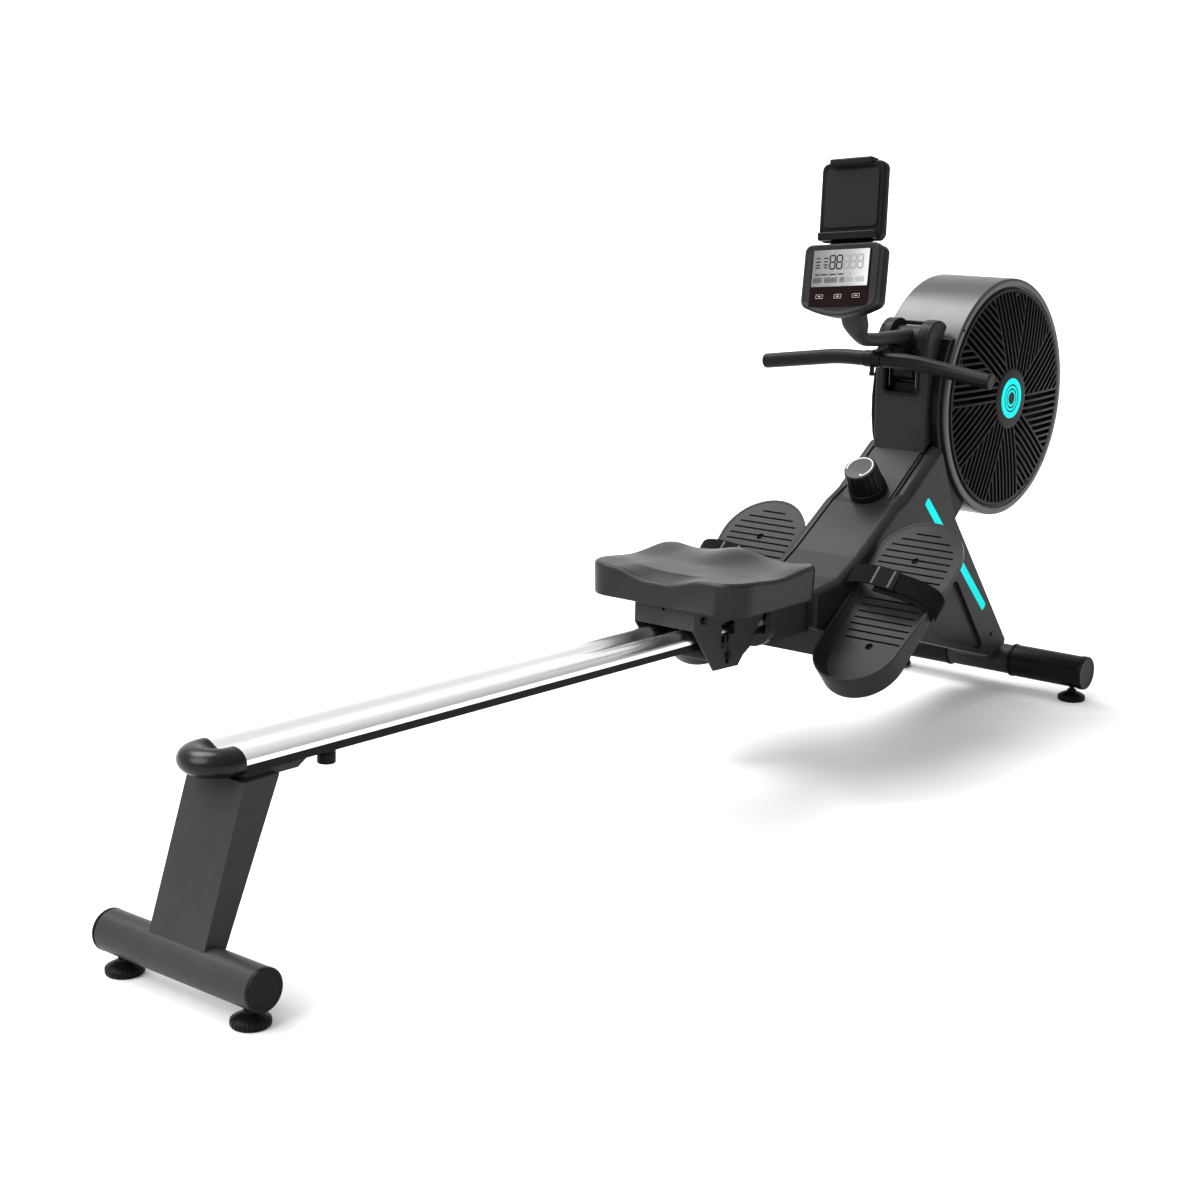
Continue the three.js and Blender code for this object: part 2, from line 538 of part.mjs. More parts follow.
function column() {
  const { front, half, earR, earZ, earInner } = COLUMN;
  const profile = new THREE.Shape();
  profile.moveTo(front, 528.6);
  profile.lineTo(1757, 543.6);
  profile.lineTo(1830, 560);
  profile.lineTo(1830, earZ);
  profile.lineTo(front + 2 * earR, earZ);
  profile.absarc(front + earR, earZ, earR, 0, Math.PI);
  const hollow = outline([
    [front + WALL, 500], [1800, 500], [1800, 716], [front + WALL, 716],
  ]);
  const drumClear = rodY(SHROUD.r + GAP + 0.5, FAN.x, FAN.z, -90, 90, 64);
  const backWall = rodY(SHROUD.r + GAP + WALL, FAN.x, FAN.z, -90, 90, 64);
  const window = prismX(roundedRect(0, 681, 36, 41, 8), front - 5, front + 10);
  const guidePocket = block(GUIDE.x - 10, 1800, -GUIDE.half - 5, GUIDE.half + 5, GUIDE.z - 20, GUIDE.z + 22);
  const body = cut(
    prismY(profile, -half, half),
    cut(prismY(hollow, -half + WALL, half - WALL), backWall),
    block(front - 5, 1850, -earInner, earInner, 724, 800),
    rodY(ARM_BARREL_R + 1.5, ARM.pivotX, ARM.pivotZ, -earInner, earInner, 32),
    window,
    drumClear,
    prismY(strapPath(4), -STRAP.half - 3, STRAP.half + 3),
    guidePocket,
    rodY(4.3, GUIDE.x, GUIDE.z, -half - 1, half + 1, 12),
    rodY(6.3, ARM.pivotX, ARM.pivotZ, -half - 1, half + 1, 16),
  );
  add("column_cover", body, PLASTIC);

  const guide = joined(
    rodY(GUIDE.r, GUIDE.x, GUIDE.z, -GUIDE.half, GUIDE.half, 20),
    rodY(GUIDE.r - 2.2, GUIDE.x, GUIDE.z, -GUIDE.half - 3, GUIDE.half + 3, 20),
    rodY(4, GUIDE.x, GUIDE.z, -half + 0.5, half - 0.5, 12),
  );
  add("strap_guide_roller", guide, STEEL_BRIGHT);

  const shroudStart = 134 * DEG;
  const shroudEnd = 236 * DEG;
  const shroud = new THREE.Shape();
  const along = (r, a) => [FAN.x + r * Math.cos(a), FAN.z + r * Math.sin(a)];
  const steps = 12;
  const inner = [];
  const outer = [];
  for (let i = 0; i <= steps; i += 1) {
    const a = shroudStart + ((shroudEnd - shroudStart) * i) / steps;
    inner.push(along(FAN.drumR + 1.1, a));
    outer.push(along(SHROUD.r, a));
  }
  const filled = outer.filter(([, z]) => z > 556);
  [...filled, [1767, 536], [1834, 390], ...[...inner].reverse()].forEach(([x, z], i) =>
    i ? shroud.lineTo(x, z) : shroud.moveTo(x, z));
  add(
    "drum_shroud",
    cut(
      prismY(shroud, -SHROUD.half, SHROUD.half),
      prismY(strapPath(4), -STRAP.half - 3, STRAP.half + 3),
      guidePocket,
      rodY(4.5, GUIDE.x, GUIDE.z, -half, half, 12),
      rodY(ARM_BARREL_R + 1.5, ARM.pivotX, ARM.pivotZ, -COLUMN.earInner, COLUMN.earInner, 20),
      ...Object.values(SIDES).map((s) => prismY(inset(SHELL_OUTLINE, -0.5), ...span(s, COVER_HALF - 0.2, 90))),
      ...Object.values(SIDES).map((s) => prismY(forkStrip(0.6), ...span(s, FORK.inner - 0.6, FORK.outer + 0.6))),
    ),
    PLASTIC_DARK,
  );
}

// ---- fan and brake ------------------------------------------------------------------------------
// The right-hand grille about the fan's axis: a shallow dome cut by slots. In each sector the slots
// run parallel to the sector's first radius and start at its second.
function grille() {
  const { r, hubR, rimY, hubY, thick, slotR, sectors, slotWidth } = GRILLE;
  const dome = turnedY([
    [0, -hubY], [hubR, -hubY], [r, -rimY], [r, thick - rimY], [hubR, thick - hubY], [0, thick - hubY],
  ], 40);
  const sectorAngle = (2 * Math.PI) / sectors;
  const slots = [];
  for (let i = 0; i < sectors; i += 1) {
    for (const offset of [18, 48, 78]) {
      const edge = offset + slotWidth / 2;
      const start = Math.max(hubR + 9, edge / Math.tan(sectorAngle) + 6);
      const end = Math.sqrt(slotR ** 2 - edge ** 2) - 2;
      slots.push(solid(
        new THREE.BoxGeometry(end - start, 30, slotWidth)
          .translate((start + end) / 2, -hubY + 5, -offset)
          .rotateY(-i * sectorAngle),
      ));
    }
  }
  return cut(dome, ...slots);
}

function fan() {
  const { x, z, drumR, drumHalf, wall } = FAN;
  const rimDepth = 4;
  const drum = cut(
    rodY(drumR, x, z, -drumHalf, drumHalf, 48),
    rodY(drumR - wall, x, z, -drumHalf + rimDepth, drumHalf - rimDepth, 48),
    rodY(GRILLE.r + 1, x, z, -drumHalf - 1, drumHalf + 1, 48),
    prismY(strapPath(4), -STRAP.half - 3, STRAP.half + 3),
    ...Object.values(SIDES).map((s) => prismY(forkStrip(0.6), ...span(s, FORK.inner - 0.6, FORK.outer + 0.6))),
  );
  add("fan_drum", drum, PLASTIC);

  eachSide((side, sign) => {
    const turned = grille().rotate([0, 0, sign > 0 ? 180 : 0]);
    add(`fan_grille_${side}`, turned.translate(x, 0, z), PLASTIC_DARK);
  });

  const rotor = [
    rodY(22, x, z, WHEEL.y0, WHEEL.y1, 20),
    rodY(WHEEL.r, x, z, WHEEL.y1 - 3, WHEEL.y1, 36),
    rodY(SHAFT_R, x, z, -FORK.outer - 2, FORK.outer + 2, 20),
  ];
  for (let i = 0; i < WHEEL.blades; i += 1) {
    const blade = new THREE.BoxGeometry(WHEEL.r - WHEEL.inner - 4, WHEEL.y1 - WHEEL.y0 - 1, 2.5)
      .translate((WHEEL.r + WHEEL.inner) / 2 - 2, (WHEEL.y0 + WHEEL.y1 - 1) / 2, 0)
      .rotateY((i * 2 * Math.PI) / WHEEL.blades)
      .translate(x, 0, z);
    rotor.push(solid(blade));
  }
  add("fan_wheel", joined(...rotor), PLASTIC_DARK);

  const disc = cut(
    joined(
      rodY(FLYWHEEL.r, x, z, FLYWHEEL.y0, FLYWHEEL.y1, 36),
      rodY(24, x, z, FLYWHEEL.y0 - 4, FLYWHEEL.y1 + 10, 20),
    ),
    rodY(SHAFT_R + GAP, x, z, 0, 60, 20),
  );
  add("flywheel", disc, ALUMINIUM);

  const spool = cut(
    joined(
      rodY(SPOOL.core, x, z, -SPOOL.half, SPOOL.half, 24),
      rodY(SPOOL.flange, x, z, -SPOOL.half, -SPOOL.half + SPOOL.flangeThick - GAP - 1, 24),
      rodY(SPOOL.flange, x, z, SPOOL.half - SPOOL.flangeThick + GAP + 1, SPOOL.half, 24),
    ),
    rodY(SHAFT_R + GAP, x, z, -30, 30, 20),
  );
  add("strap_spool", spool, PLASTIC);

  const jaws = [[1828, 545], [1892, 545], [1892, 592], [1828, 592]];
  const swingArm = [[1848, 458], [1868, 458], [1878, 550], [1842, 550]];
  const yoke = cut(
    joined(
      prismY(jaws, 14, 42),
      prismY(swingArm, 35, 42),
      rodY(12, YOKE.x, YOKE.z, 35, 46, 20),
      rodY(YOKE.pinR, YOKE.x, YOKE.z, 44, FORK.outer + 1, 16),
    ),
    block(1838, 1900, FLYWHEEL.y0 - 3, FLYWHEEL.y1 + 2.7, 530, 600),
  );
  add("magnet_yoke", yoke, STEEL_BRIGHT);
  add("pull_strap", prismY(strapPath(0), -STRAP.half + 2, STRAP.half - 2), WEBBING);
}

// ---- knob ---------------------------------------------------------------------------------------
function tensionKnob() {
  const holder = new THREE.Group();
  holder.position.set(KNOB.x, 0, KNOB.z);
  holder.rotation.y = -DECK_PITCH * DEG;
  machine.add(holder);
  const knob = turnedZ([
    [0, -16], [KNOB.shaftR, -16], [KNOB.shaftR, 0], [KNOB.skirtR, 0], [KNOB.skirtR, KNOB.skirtTop],
    [KNOB.baseR, KNOB.skirtTop + 1], [KNOB.topR, KNOB.height - 3],
    [KNOB.topR - 2, KNOB.height], [0, KNOB.height],
  ], 24);
  add("tension_knob", knob, PLASTIC_DARK, holder);
}

// ---- handle -------------------------------------------------------------------------------------
// A straight tube between two points of the YZ plane at the handle's station.
function handleTube(r, from, to, sides = 16) {
  const a = new THREE.Vector3(HANDLE.x, ...from);
  const b = new THREE.Vector3(HANDLE.x, ...to);
  const path = new THREE.LineCurve3(a, b);
  const circle = new THREE.Shape();
  for (let i = 0; i < sides; i += 1) {
    const angle = (i * 2 * Math.PI) / sides;
    const p = [r * Math.cos(angle), r * Math.sin(angle)];
    if (i) circle.lineTo(...p);
    else circle.moveTo(...p);
  }
  return solid(new THREE.ExtrudeGeometry(circle, { steps: 1, extrudePath: path, bevelEnabled: false }));
}

function handle() {
  const { x, midZ, tipZ, bendY, half, tubeR, gripR } = HANDLE;
  const unit = new THREE.Vector2(half - bendY, tipZ - midZ).normalize();
  const beyond = (sign, d) => [sign * (half + unit.x * d), tipZ + unit.y * d];
  const bar = (r, end) => joined(
    handleTube(r, [-bendY, midZ], [bendY, midZ]),
    ...Object.values(SIDES).map((s) => handleTube(r, [s * bendY, midZ], beyond(s, end))),
    ...Object.values(SIDES).map((s) => solid(new THREE.SphereGeometry(r, 16, 8).translate(x, s * bendY, midZ))),
  );
  const core = bar(tubeR, -6);
  add("handle_bar", core, STEEL_BLACK);
  const clearance = bar(tubeR + GAP, -5);
  const sleeve = bar(gripR, 0);
  eachSide((side, sign) => {
    const region = block(x - 40, x + 40, ...span(sign, 19.3, 400), 500, 900);
    add(`handle_grip_${side}`, sleeve.intersect(region).subtract(clearance), RUBBER);
  });

  const strapHole = prismY(strapPath(0.4), -STRAP.half - 0.4, STRAP.half + 0.4);
  const clamp = joined(
    rodY(gripR + 1.3, x, midZ, -19, 19, 20),
    block(x + 10, x + 40, -14, 14, midZ - 6, midZ + 8),
    block(x + 39, STRAP.endX - 1, -16, 16, midZ - 7, midZ + 6),
    rodZ(4, x - 8, 0, midZ - 26, midZ - 10, 10),
  );
  add("handle_clamp", cut(clamp, rodY(tubeR + GAP, x, midZ, -30, 30), strapHole), PLASTIC);
}

// ---- monitor ------------------------------------------------------------------------------------
function consoleOutline(inset) {
  const w = CONSOLE.half - inset;
  const top = CONSOLE.top - inset;
  const r = 14 - inset / 2;
  const s = new THREE.Shape();
  s.moveTo(-w, -56);
  s.quadraticCurveTo(-w + 1, -68 + inset, -w + 16, -72 + inset);
  s.quadraticCurveTo(0, -98 + inset, w - 16, -72 + inset);
  s.quadraticCurveTo(w - 1, -68 + inset, w, -56);
  s.lineTo(w, top - r);
  s.absarc(w - r, top - r, r, 0, Math.PI / 2);
  s.lineTo(-w + r, top);
  s.absarc(-w + r, top - r, r, Math.PI / 2, Math.PI);
  return s;
}

function monitor() {
  const unit = new THREE.Group();
  unit.position.set(CONSOLE.x, 0, CONSOLE.z);
  unit.rotation.order = "YXZ";
  unit.rotation.set(-CONSOLE.roll * DEG, CONSOLE.tilt * DEG, 0);
  machine.add(unit);

  const buttonsY = [38, 0, -38];
  const buttonZ = -50;
  const lensDepth = 2.5;
  const hinge = { x: 30, z: CONSOLE.top + 7, r: 3, lug: [30, 40] };
  const lugs = Object.values(SIDES).map((s) =>
    joined(
      rodY(6.5, hinge.x, hinge.z, ...span(s, ...hinge.lug), 16),
      block(hinge.x - 6.5, hinge.x + 6.5, ...span(s, ...hinge.lug), CONSOLE.top - 4, hinge.z),
    ));
  const buttonWells = buttonsY.map((y) => block(-1, 9, y - 9, y + 9, buttonZ - 5, buttonZ + 5));
  const housing = cut(
    joined(prismX(consoleOutline(0), 0, CONSOLE.depth), ...lugs),
    block(-1, lensDepth, -60.3, 60.3, -68.3, 35.3),
    rodY(hinge.r + GAP, hinge.x, hinge.z, -50, 50, 16),
    ...buttonWells,
  );
  add("console_housing", housing, PLASTIC, unit);
  const lens = cut(
    block(0.3, lensDepth - GAP, -60, 60, -68, 35),
    ...buttonsY.map((y) => block(-1, 9, y - 9, y + 9, buttonZ - 5, buttonZ + 5)),
  );
  add("console_lens", lens, GLASS, unit);
  ["left", "middle", "right"].forEach((place, i) => {
    add(`button_${place}`, block(-0.6, 5, buttonsY[i] - 8.6, buttonsY[i] + 8.6, buttonZ - 4.6, buttonZ + 4.6),
      PLASTIC_DARK, unit);
  });

  const shelf = new THREE.Group();
  shelf.position.set(hinge.x, 0, hinge.z);
  shelf.rotation.y = HOLDER.tilt * DEG;
  unit.add(shelf);
  const front = -9;
  const back = front + HOLDER.depth;
  const { low } = HOLDER;
  const midZ = low + HOLDER.height / 2;
  const tray = joined(
    prismX(roundedRect(0, midZ, HOLDER.half, HOLDER.height / 2, 11), front, back),
    block(front - 12, front + 1, -HOLDER.half + 6, HOLDER.half - 6, low + 2, low + 10),
    block(front - 12, front - 8, -HOLDER.half + 6, HOLDER.half - 6, low + 9, low + 17),
    block(-5, 5, -24, 24, 0, low + 2),
    rodY(6, 0, 0, -29.7, 29.7, 16),
  );
  const clipSlot = block(front + 6.7, back - 6.7, -26.3, 26.3, midZ - 20, low + HOLDER.height + 1);
  const lugRooms = Object.values(SIDES).map((s) => (
    rodY(7.3, 0, 0, ...span(s, hinge.lug[0] - 0.4, hinge.lug[1] + 0.4), 20)
  ));
  const pin = rodY(hinge.r, 0, 0, -hinge.lug[1], hinge.lug[1], 16);
  add("phone_holder", joined(cut(tray, clipSlot, ...lugRooms), pin), PLASTIC, shelf);
  const clip = joined(
    block(front + 7, back - 7, -26, 26, midZ - 10, low + HOLDER.height + 4),
    block(front - 12, back - 7, -42, 42, low + HOLDER.height + 0.8, low + HOLDER.height + 5),
    block(front - 12, front - 8, -42, 42, low + HOLDER.height - 6, low + HOLDER.height + 2),
  );
  add("phone_clip", clip, PLASTIC_DARK, shelf);

  monitorArm(unit);
}

// A bent tube in the XZ plane through [x, z] points, with a shaped section.
function sweptTube(points, r, steps) {
  const stations = points.map(([px, pz]) => new THREE.Vector3(px, 0, pz));
  const curve = new THREE.CatmullRomCurve3(stations, false, "centripetal");
  const circle = new THREE.Shape();
  const sides = 16;
  for (let i = 0; i < sides; i += 1) {
    const a = (i * 2 * Math.PI) / sides;
    if (i) circle.lineTo(r * Math.cos(a), r * Math.sin(a));
    else circle.moveTo(r, 0);
  }
  return solid(new THREE.ExtrudeGeometry(circle, { steps, extrudePath: curve, bevelEnabled: false }));
}

function monitorArm(unit) {
  unit.updateMatrix();
  const consoleBack = CONSOLE.depth + GAP;
  const saddle = new THREE.BoxGeometry(13, 44, 60).translate(consoleBack + 6.5, 0, -40).applyMatrix4(unit.matrix);
  const saddleSolid = solid(saddle);
  const behind = solid(
    new THREE.BoxGeometry(60, 300, 300).translate(consoleBack - 30, 0, 0).applyMatrix4(unit.matrix),
  );
  const tube = sweptTube(
    [[ARM.pivotX, ARM.z], [1700, ARM.z], [1640, ARM.z], [1600, 749], [1572, 766], [1560, 792], [1560, 832]],
    ARM.r,
    14,
  );
  const arm = joined(
    tube,
    saddleSolid,
    rodY(ARM_BARREL_R, ARM.pivotX, ARM.pivotZ, -COLUMN.earInner + 1, COLUMN.earInner - 1, 32),
    rodY(6, ARM.pivotX, ARM.pivotZ, -COLUMN.half + 1, COLUMN.half - 1, 16),
  );
  add("monitor_arm", cut(arm, behind), STEEL_BLACK);
}

// ---- the machine ----------------------------------------------------------------------------------
const rail = new THREE.Group();
rail.rotation.y = RAIL_SLOPE;
rail.position.x = -RAIL.hump * Math.sin(RAIL_SLOPE); // stations along the rail keep their place at its top
machine.add(rail);

stabilizers();
rearPost();
railParts(rail);
seatParts(rail);
mainFrame();
pedalFrame();
pedals();
shells();
column();
fan();
tensionKnob();
handle();
monitor();

export default rowingMachine;
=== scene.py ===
"""The looks of an air rowing machine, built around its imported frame.

Lengths inside the build functions are millimetres in each group's own axes (machine, rail, footplate, deck,
console, phone holder); `make` turns them into the row frame, in metres.
"""

import math

import bmesh
import bpy
from mathutils import Matrix, Vector
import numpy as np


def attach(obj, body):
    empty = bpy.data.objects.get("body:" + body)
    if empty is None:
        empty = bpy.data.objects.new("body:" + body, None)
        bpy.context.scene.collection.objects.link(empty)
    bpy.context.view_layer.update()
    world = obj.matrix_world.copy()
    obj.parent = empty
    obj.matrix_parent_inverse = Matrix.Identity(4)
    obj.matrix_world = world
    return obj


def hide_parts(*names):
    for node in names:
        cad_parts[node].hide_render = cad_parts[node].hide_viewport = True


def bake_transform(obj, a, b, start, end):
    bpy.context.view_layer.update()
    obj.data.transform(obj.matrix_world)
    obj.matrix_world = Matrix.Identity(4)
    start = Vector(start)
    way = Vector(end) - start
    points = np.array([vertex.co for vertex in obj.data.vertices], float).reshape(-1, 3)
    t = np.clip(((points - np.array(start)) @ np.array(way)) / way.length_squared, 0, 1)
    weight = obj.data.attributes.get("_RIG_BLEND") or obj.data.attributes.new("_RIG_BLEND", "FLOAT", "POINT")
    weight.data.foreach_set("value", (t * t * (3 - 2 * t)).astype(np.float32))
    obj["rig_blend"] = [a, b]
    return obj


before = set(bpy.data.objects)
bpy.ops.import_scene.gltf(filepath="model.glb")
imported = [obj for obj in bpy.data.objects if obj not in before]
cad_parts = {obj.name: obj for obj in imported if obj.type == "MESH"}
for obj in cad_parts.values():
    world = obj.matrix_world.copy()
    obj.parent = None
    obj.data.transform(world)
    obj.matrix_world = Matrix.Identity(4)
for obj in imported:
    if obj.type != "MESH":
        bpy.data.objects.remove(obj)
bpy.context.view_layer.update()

SIDES = {"right": -1, "left": 1}

# ---- dimensions shared by several pieces ----
CENTRE_X = 1100.55
RAIL_SLOPE = math.radians(1.18)
RAIL_START, RAIL_END, RAIL_HALF = 72, 1330, 51
HUMP_Z, HUMP_Y, VALLEY_Z = 335.6, 28, 326
REAR = {"x": 0, "z": 55.4, "half": 158.5, "foot_y": 128, "foot_top": 25.4}
FRONT = {"x": 2113.4, "z": 60.3, "half": 235.2, "foot_y": 204, "sleeve_r": 32.4, "sleeve_y": 70,
    "foot_top": 27.9}
TUBE_R = 30
PEDAL = {"x": 1534, "y": 169, "z": 373, "pitch": 42, "toe_r": 88, "heel_r": 80, "spacing": 220, "floor": 10}
PEDAL_RIM = 44
BODY_HALF, COVER_HALF = 80, 59.4
SHELL = [(1355, 262), (1455, 255), (1784, 154), (1992, 92), (2061, 110), (1830, 397), (1763, 546),
    (1650, 466), (1609, 448), (1493, 374), (1428, 341), (1355, 335)]
DECK_PITCH = 35.3
KNOB = {"x": 1640, "z": 465.4}
SEAT_REAR, SEAT_FRONT, SEAT_HALF, SEAT_UNDER = 998, 1241, 160, 377.6
WHEEL_STATIONS = {"rear": 1046, "front": 1190}
LOWER_ROLLER = {"x": 1117, "z": 285}
SEAT_STOP = {"x": 233, "y": 29}
FAN_X, FAN_Z, DRUM_R, DRUM_HALF = 2000, 614, 231.1, 79.3
GRILLE_R, SLOT_R, HUB_R = 213, 206, 59
COLUMN = {"front": 1737, "half": 55.5, "ear_r": 39.5, "ear_z": 737.5, "ear_inner": 31}
GUIDE_X, GUIDE_Z, GUIDE_R = 1757.5, 678, 14.5
HANDLE = {"x": 1642, "mid_z": 712, "tip_z": 689.5, "bend_y": 78, "half": 243, "grip_r": 14}
STRAP_END = (1737, 721)
ARM = {"pivot_x": 1776.5, "pivot_z": 740, "z": 747.5, "r": 12.5}
CONSOLE = {"x": 1515, "z": 883, "tilt": 14.3, "roll": 5.2, "half": 78, "top": 45, "depth": 45}
HOLDER_HINGE, HOLDER_TILT = (30, 52), -3.8


def turn(degrees, axis):
    return Matrix.Rotation(math.radians(degrees), 4, axis)


MACHINE = Matrix.Scale(0.001, 4) @ Matrix.Translation((-CENTRE_X, 0, 0))
RAIL = MACHINE @ Matrix.Translation((-HUMP_Z * math.sin(RAIL_SLOPE), 0, 0)) @ Matrix.Rotation(RAIL_SLOPE,
    4, "Y")
DECK = MACHINE @ Matrix.Translation((KNOB["x"], 0, KNOB["z"])) @ turn(-DECK_PITCH, "Y")
UNIT = MACHINE @ Matrix.Translation((CONSOLE["x"], 0, CONSOLE["z"])) @ turn(CONSOLE["tilt"],
    "Y") @ turn(-CONSOLE["roll"], "X")
HOLDER = UNIT @ Matrix.Translation((HOLDER_HINGE[0], 0, HOLDER_HINGE[1])) @ turn(HOLDER_TILT, "Y")


def footplate_place(sign):
    """The axes of a footplate: X from heel to toe, Z out of the tread."""
    return MACHINE @ Matrix.Translation((PEDAL["x"], sign * PEDAL["y"],
            PEDAL["z"])) @ turn(-PEDAL["pitch"], "Y")


# ---- materials ----
def new_material(name):
    material = bpy.data.materials.new(name)
    material.use_nodes = True
    nodes, links = material.node_tree.nodes, material.node_tree.links
    return material, nodes, links, nodes["Principled BSDF"]


def noise(nodes, links, coordinates, scale, detail=3.0, roughness=0.55):
    texture = nodes.new("ShaderNodeTexNoise")
    texture.inputs["Scale"].default_value = scale
    texture.inputs["Detail"].default_value = detail
    texture.inputs["Roughness"].default_value = roughness
    links.new(coordinates, texture.inputs["Vector"])
    return texture


def object_coordinates(nodes, links, stretch):
    coordinates = nodes.new("ShaderNodeTexCoord")
    mapping = nodes.new("ShaderNodeMapping")
    mapping.inputs["Scale"].default_value = stretch
    links.new(coordinates.outputs["Object"], mapping.inputs["Vector"])
    return mapping.outputs["Vector"]


def two_tone(nodes, links, factor, dark, light, low=0.3, high=0.7):
    """A ramp between two colours; a single number is a grey."""
    ramp = nodes.new("ShaderNodeValToRGB")
    for element, position, tone in zip(ramp.color_ramp.elements, (low, high), (dark, light)):
        element.position = position
        element.color = (*tone, 1) if isinstance(tone, tuple) else (tone, tone, tone, 1)
    links.new(factor, ramp.inputs["Fac"])
    return ramp.outputs["Color"]


def spread(nodes, links, factor, low, high):
    span = nodes.new("ShaderNodeMapRange")
    span.inputs["From Min"].default_value = 0.3
    span.inputs["From Max"].default_value = 0.7
    span.inputs["To Min"].default_value = low
    span.inputs["To Max"].default_value = high
    links.new(factor, span.inputs["Value"])
    return span.outputs["Result"]


def bump(nodes, links, shader, height, strength, distance):
    node = nodes.new("ShaderNodeBump")
    node.inputs["Strength"].default_value = strength
    node.inputs["Distance"].default_value = distance
    links.new(height, node.inputs["Height"])
    links.new(node.outputs["Normal"], shader.inputs["Normal"])


def surface(name, dark, light, rough, grain, depth, metallic=0.0, stretch=(1, 1, 1), spec=0.5,
        strength=0.35):
    """A finish with a broad drift of tone, a drifting roughness and a fine grain in relief."""
    material, nodes, links, shader = new_material(name)
    at = object_coordinates(nodes, links, stretch)
    drift = noise(nodes, links, at, 9.0)
    fine = noise(nodes, links, at, grain, detail=5.0)
    links.new(two_tone(nodes, links, drift.outputs["Fac"], dark, light), shader.inputs["Base Color"])
    links.new(spread(nodes, links, drift.outputs["Fac"], rough - 0.05, rough + 0.05),
        shader.inputs["Roughness"])
    bump(nodes, links, shader, fine.outputs["Fac"], strength, depth)
    shader.inputs["Metallic"].default_value = metallic
    shader.inputs["Specular IOR Level"].default_value = spec
    return material


def woven(name, dark, light, pitch, fuzz=0.0):
    """Webbing: two crossed waves of threads, with loose fibres where fuzz is above nought."""
    material, nodes, links, shader = new_material(name)
    at = object_coordinates(nodes, links, (1, 1, 1))
    threads = []
    for direction in ("X", "Y"):
        wave = nodes.new("ShaderNodeTexWave")
        wave.wave_type = "BANDS"
        wave.bands_direction = direction
        wave.inputs["Scale"].default_value = 1 / (pitch * 6.28)
        wave.inputs["Distortion"].default_value = 0.4 + 6 * fuzz
        wave.inputs["Detail"].default_value = 2
        links.new(at, wave.inputs["Vector"])
        threads.append(wave.outputs["Fac"])
    weave = nodes.new("ShaderNodeMath")
    weave.operation = "MAXIMUM"
    links.new(threads[0], weave.inputs[0])
    links.new(threads[1], weave.inputs[1])
    height = weave.outputs["Value"]
    tone = height
    if fuzz:
        fibres = noise(nodes, links, at, 900, detail=6, roughness=0.8)
        height = tone = fibres.outputs["Fac"]
    links.new(two_tone(nodes, links, tone, dark, light, 0.45, 0.75 if fuzz else 1.0),
        shader.inputs["Base Color"])
    bump(nodes, links, shader, height, 0.8, 0.0006 if fuzz else 0.0003)
    shader.inputs["Roughness"].default_value = 0.9
    shader.inputs["Specular IOR Level"].default_value = 0.1
    return material


def display_with_painted_reflection():
    """A reflective liquid crystal display with a painted reflection in its colour: grey on its left, bright
    silver on its right.
    """
    material, nodes, links, shader = new_material("display_painted_reflection")
    coordinates = nodes.new("ShaderNodeTexCoord")
    parts = nodes.new("ShaderNodeSeparateXYZ")
    links.new(coordinates.outputs["Generated"], parts.inputs["Vector"])
    # Painted reflection: this ramp along Y makes the display bright at its -Y end and darker towards its +Y
    # end, as if it mirrored the lights.
    ramp = nodes.new("ShaderNodeValToRGB")
    ramp.color_ramp.elements[0].color = (0.46, 0.465, 0.47, 1)
    ramp.color_ramp.elements[1].color = (0.11, 0.111, 0.113, 1)
    ramp.color_ramp.elements.new(0.35).color = (0.25, 0.252, 0.255, 1)
    links.new(parts.outputs["Y"], ramp.inputs["Fac"])
    links.new(ramp.outputs["Color"], shader.inputs["Base Color"])
    at = object_coordinates(nodes, links, (1, 1, 1))
    haze = noise(nodes, links, at, 60)
    links.new(spread(nodes, links, haze.outputs["Fac"], 0.18, 0.3), shader.inputs["Roughness"])
    shader.inputs["Coat Weight"].default_value = 0.3
    return material


def brushed(name, dark, light, rough, stretch):
    """Metal with fine lines along the axis that stretch leaves long."""
    material = surface(name, dark, light, rough, 700, 0.00006, metallic=1.0, stretch=stretch, strength=0.3)
    shader = material.node_tree.nodes["Principled BSDF"]
    shader.inputs["Anisotropic"].default_value = 0.4
    return material


PAINT = surface("satin_black_paint", 0.034, 0.042, 0.38, 1500, 0.00008, spec=0.13)
PLASTIC = surface("charcoal_plastic", 0.021, 0.028, 0.36, 2600, 0.00010, spec=0.13)
DRUM = surface("drum_plastic", 0.022, 0.028, 0.34, 2600, 0.00008, spec=0.6)
BLACK = surface("black_plastic", 0.006, 0.010, 0.36, 2200, 0.00008, spec=0.12)
GLOSS = surface("gloss_rubber", 0.004, 0.008, 0.30, 1500, 0.00004, spec=0.3)
RUBBER = surface("black_rubber", (0.008, 0.008, 0.009), (0.014, 0.014, 0.015), 0.55, 1800, 0.00012,
    spec=0.15)
FOAM = surface("grip_foam", 0.005, 0.009, 0.38, 3200, 0.00010, spec=0.16)
SKIN = surface("seat_skin", 0.018, 0.025, 0.30, 2400, 0.00014, spec=0.17)
ALUMINIUM = brushed("brushed_aluminium", (0.80, 0.81, 0.82), (0.90, 0.91, 0.92), 0.28, (0.02, 1, 1))
STEEL = brushed("brushed_steel", (0.42, 0.43, 0.44), (0.58, 0.59, 0.60), 0.30, (1, 0.05, 1))
GUN_METAL = brushed("dark_steel", (0.10, 0.10, 0.105), (0.15, 0.15, 0.155), 0.36, (1, 0.05, 1))
WEBBING = woven("nylon_webbing", (0.004, 0.004, 0.005), (0.020, 0.020, 0.022), 0.0012)
FUZZ = woven("hook_and_loop", 0.003, (0.036, 0.031, 0.028), 0.0012, fuzz=0.5)
FUZZ_DARK = woven("loop_pile", 0.003, (0.022, 0.020, 0.019), 0.0012, fuzz=0.5)
STITCH = surface("stitch_thread", (0.04, 0.042, 0.042), (0.13, 0.135, 0.135), 0.8, 3000, 0.0001)
DISPLAY = display_with_painted_reflection()
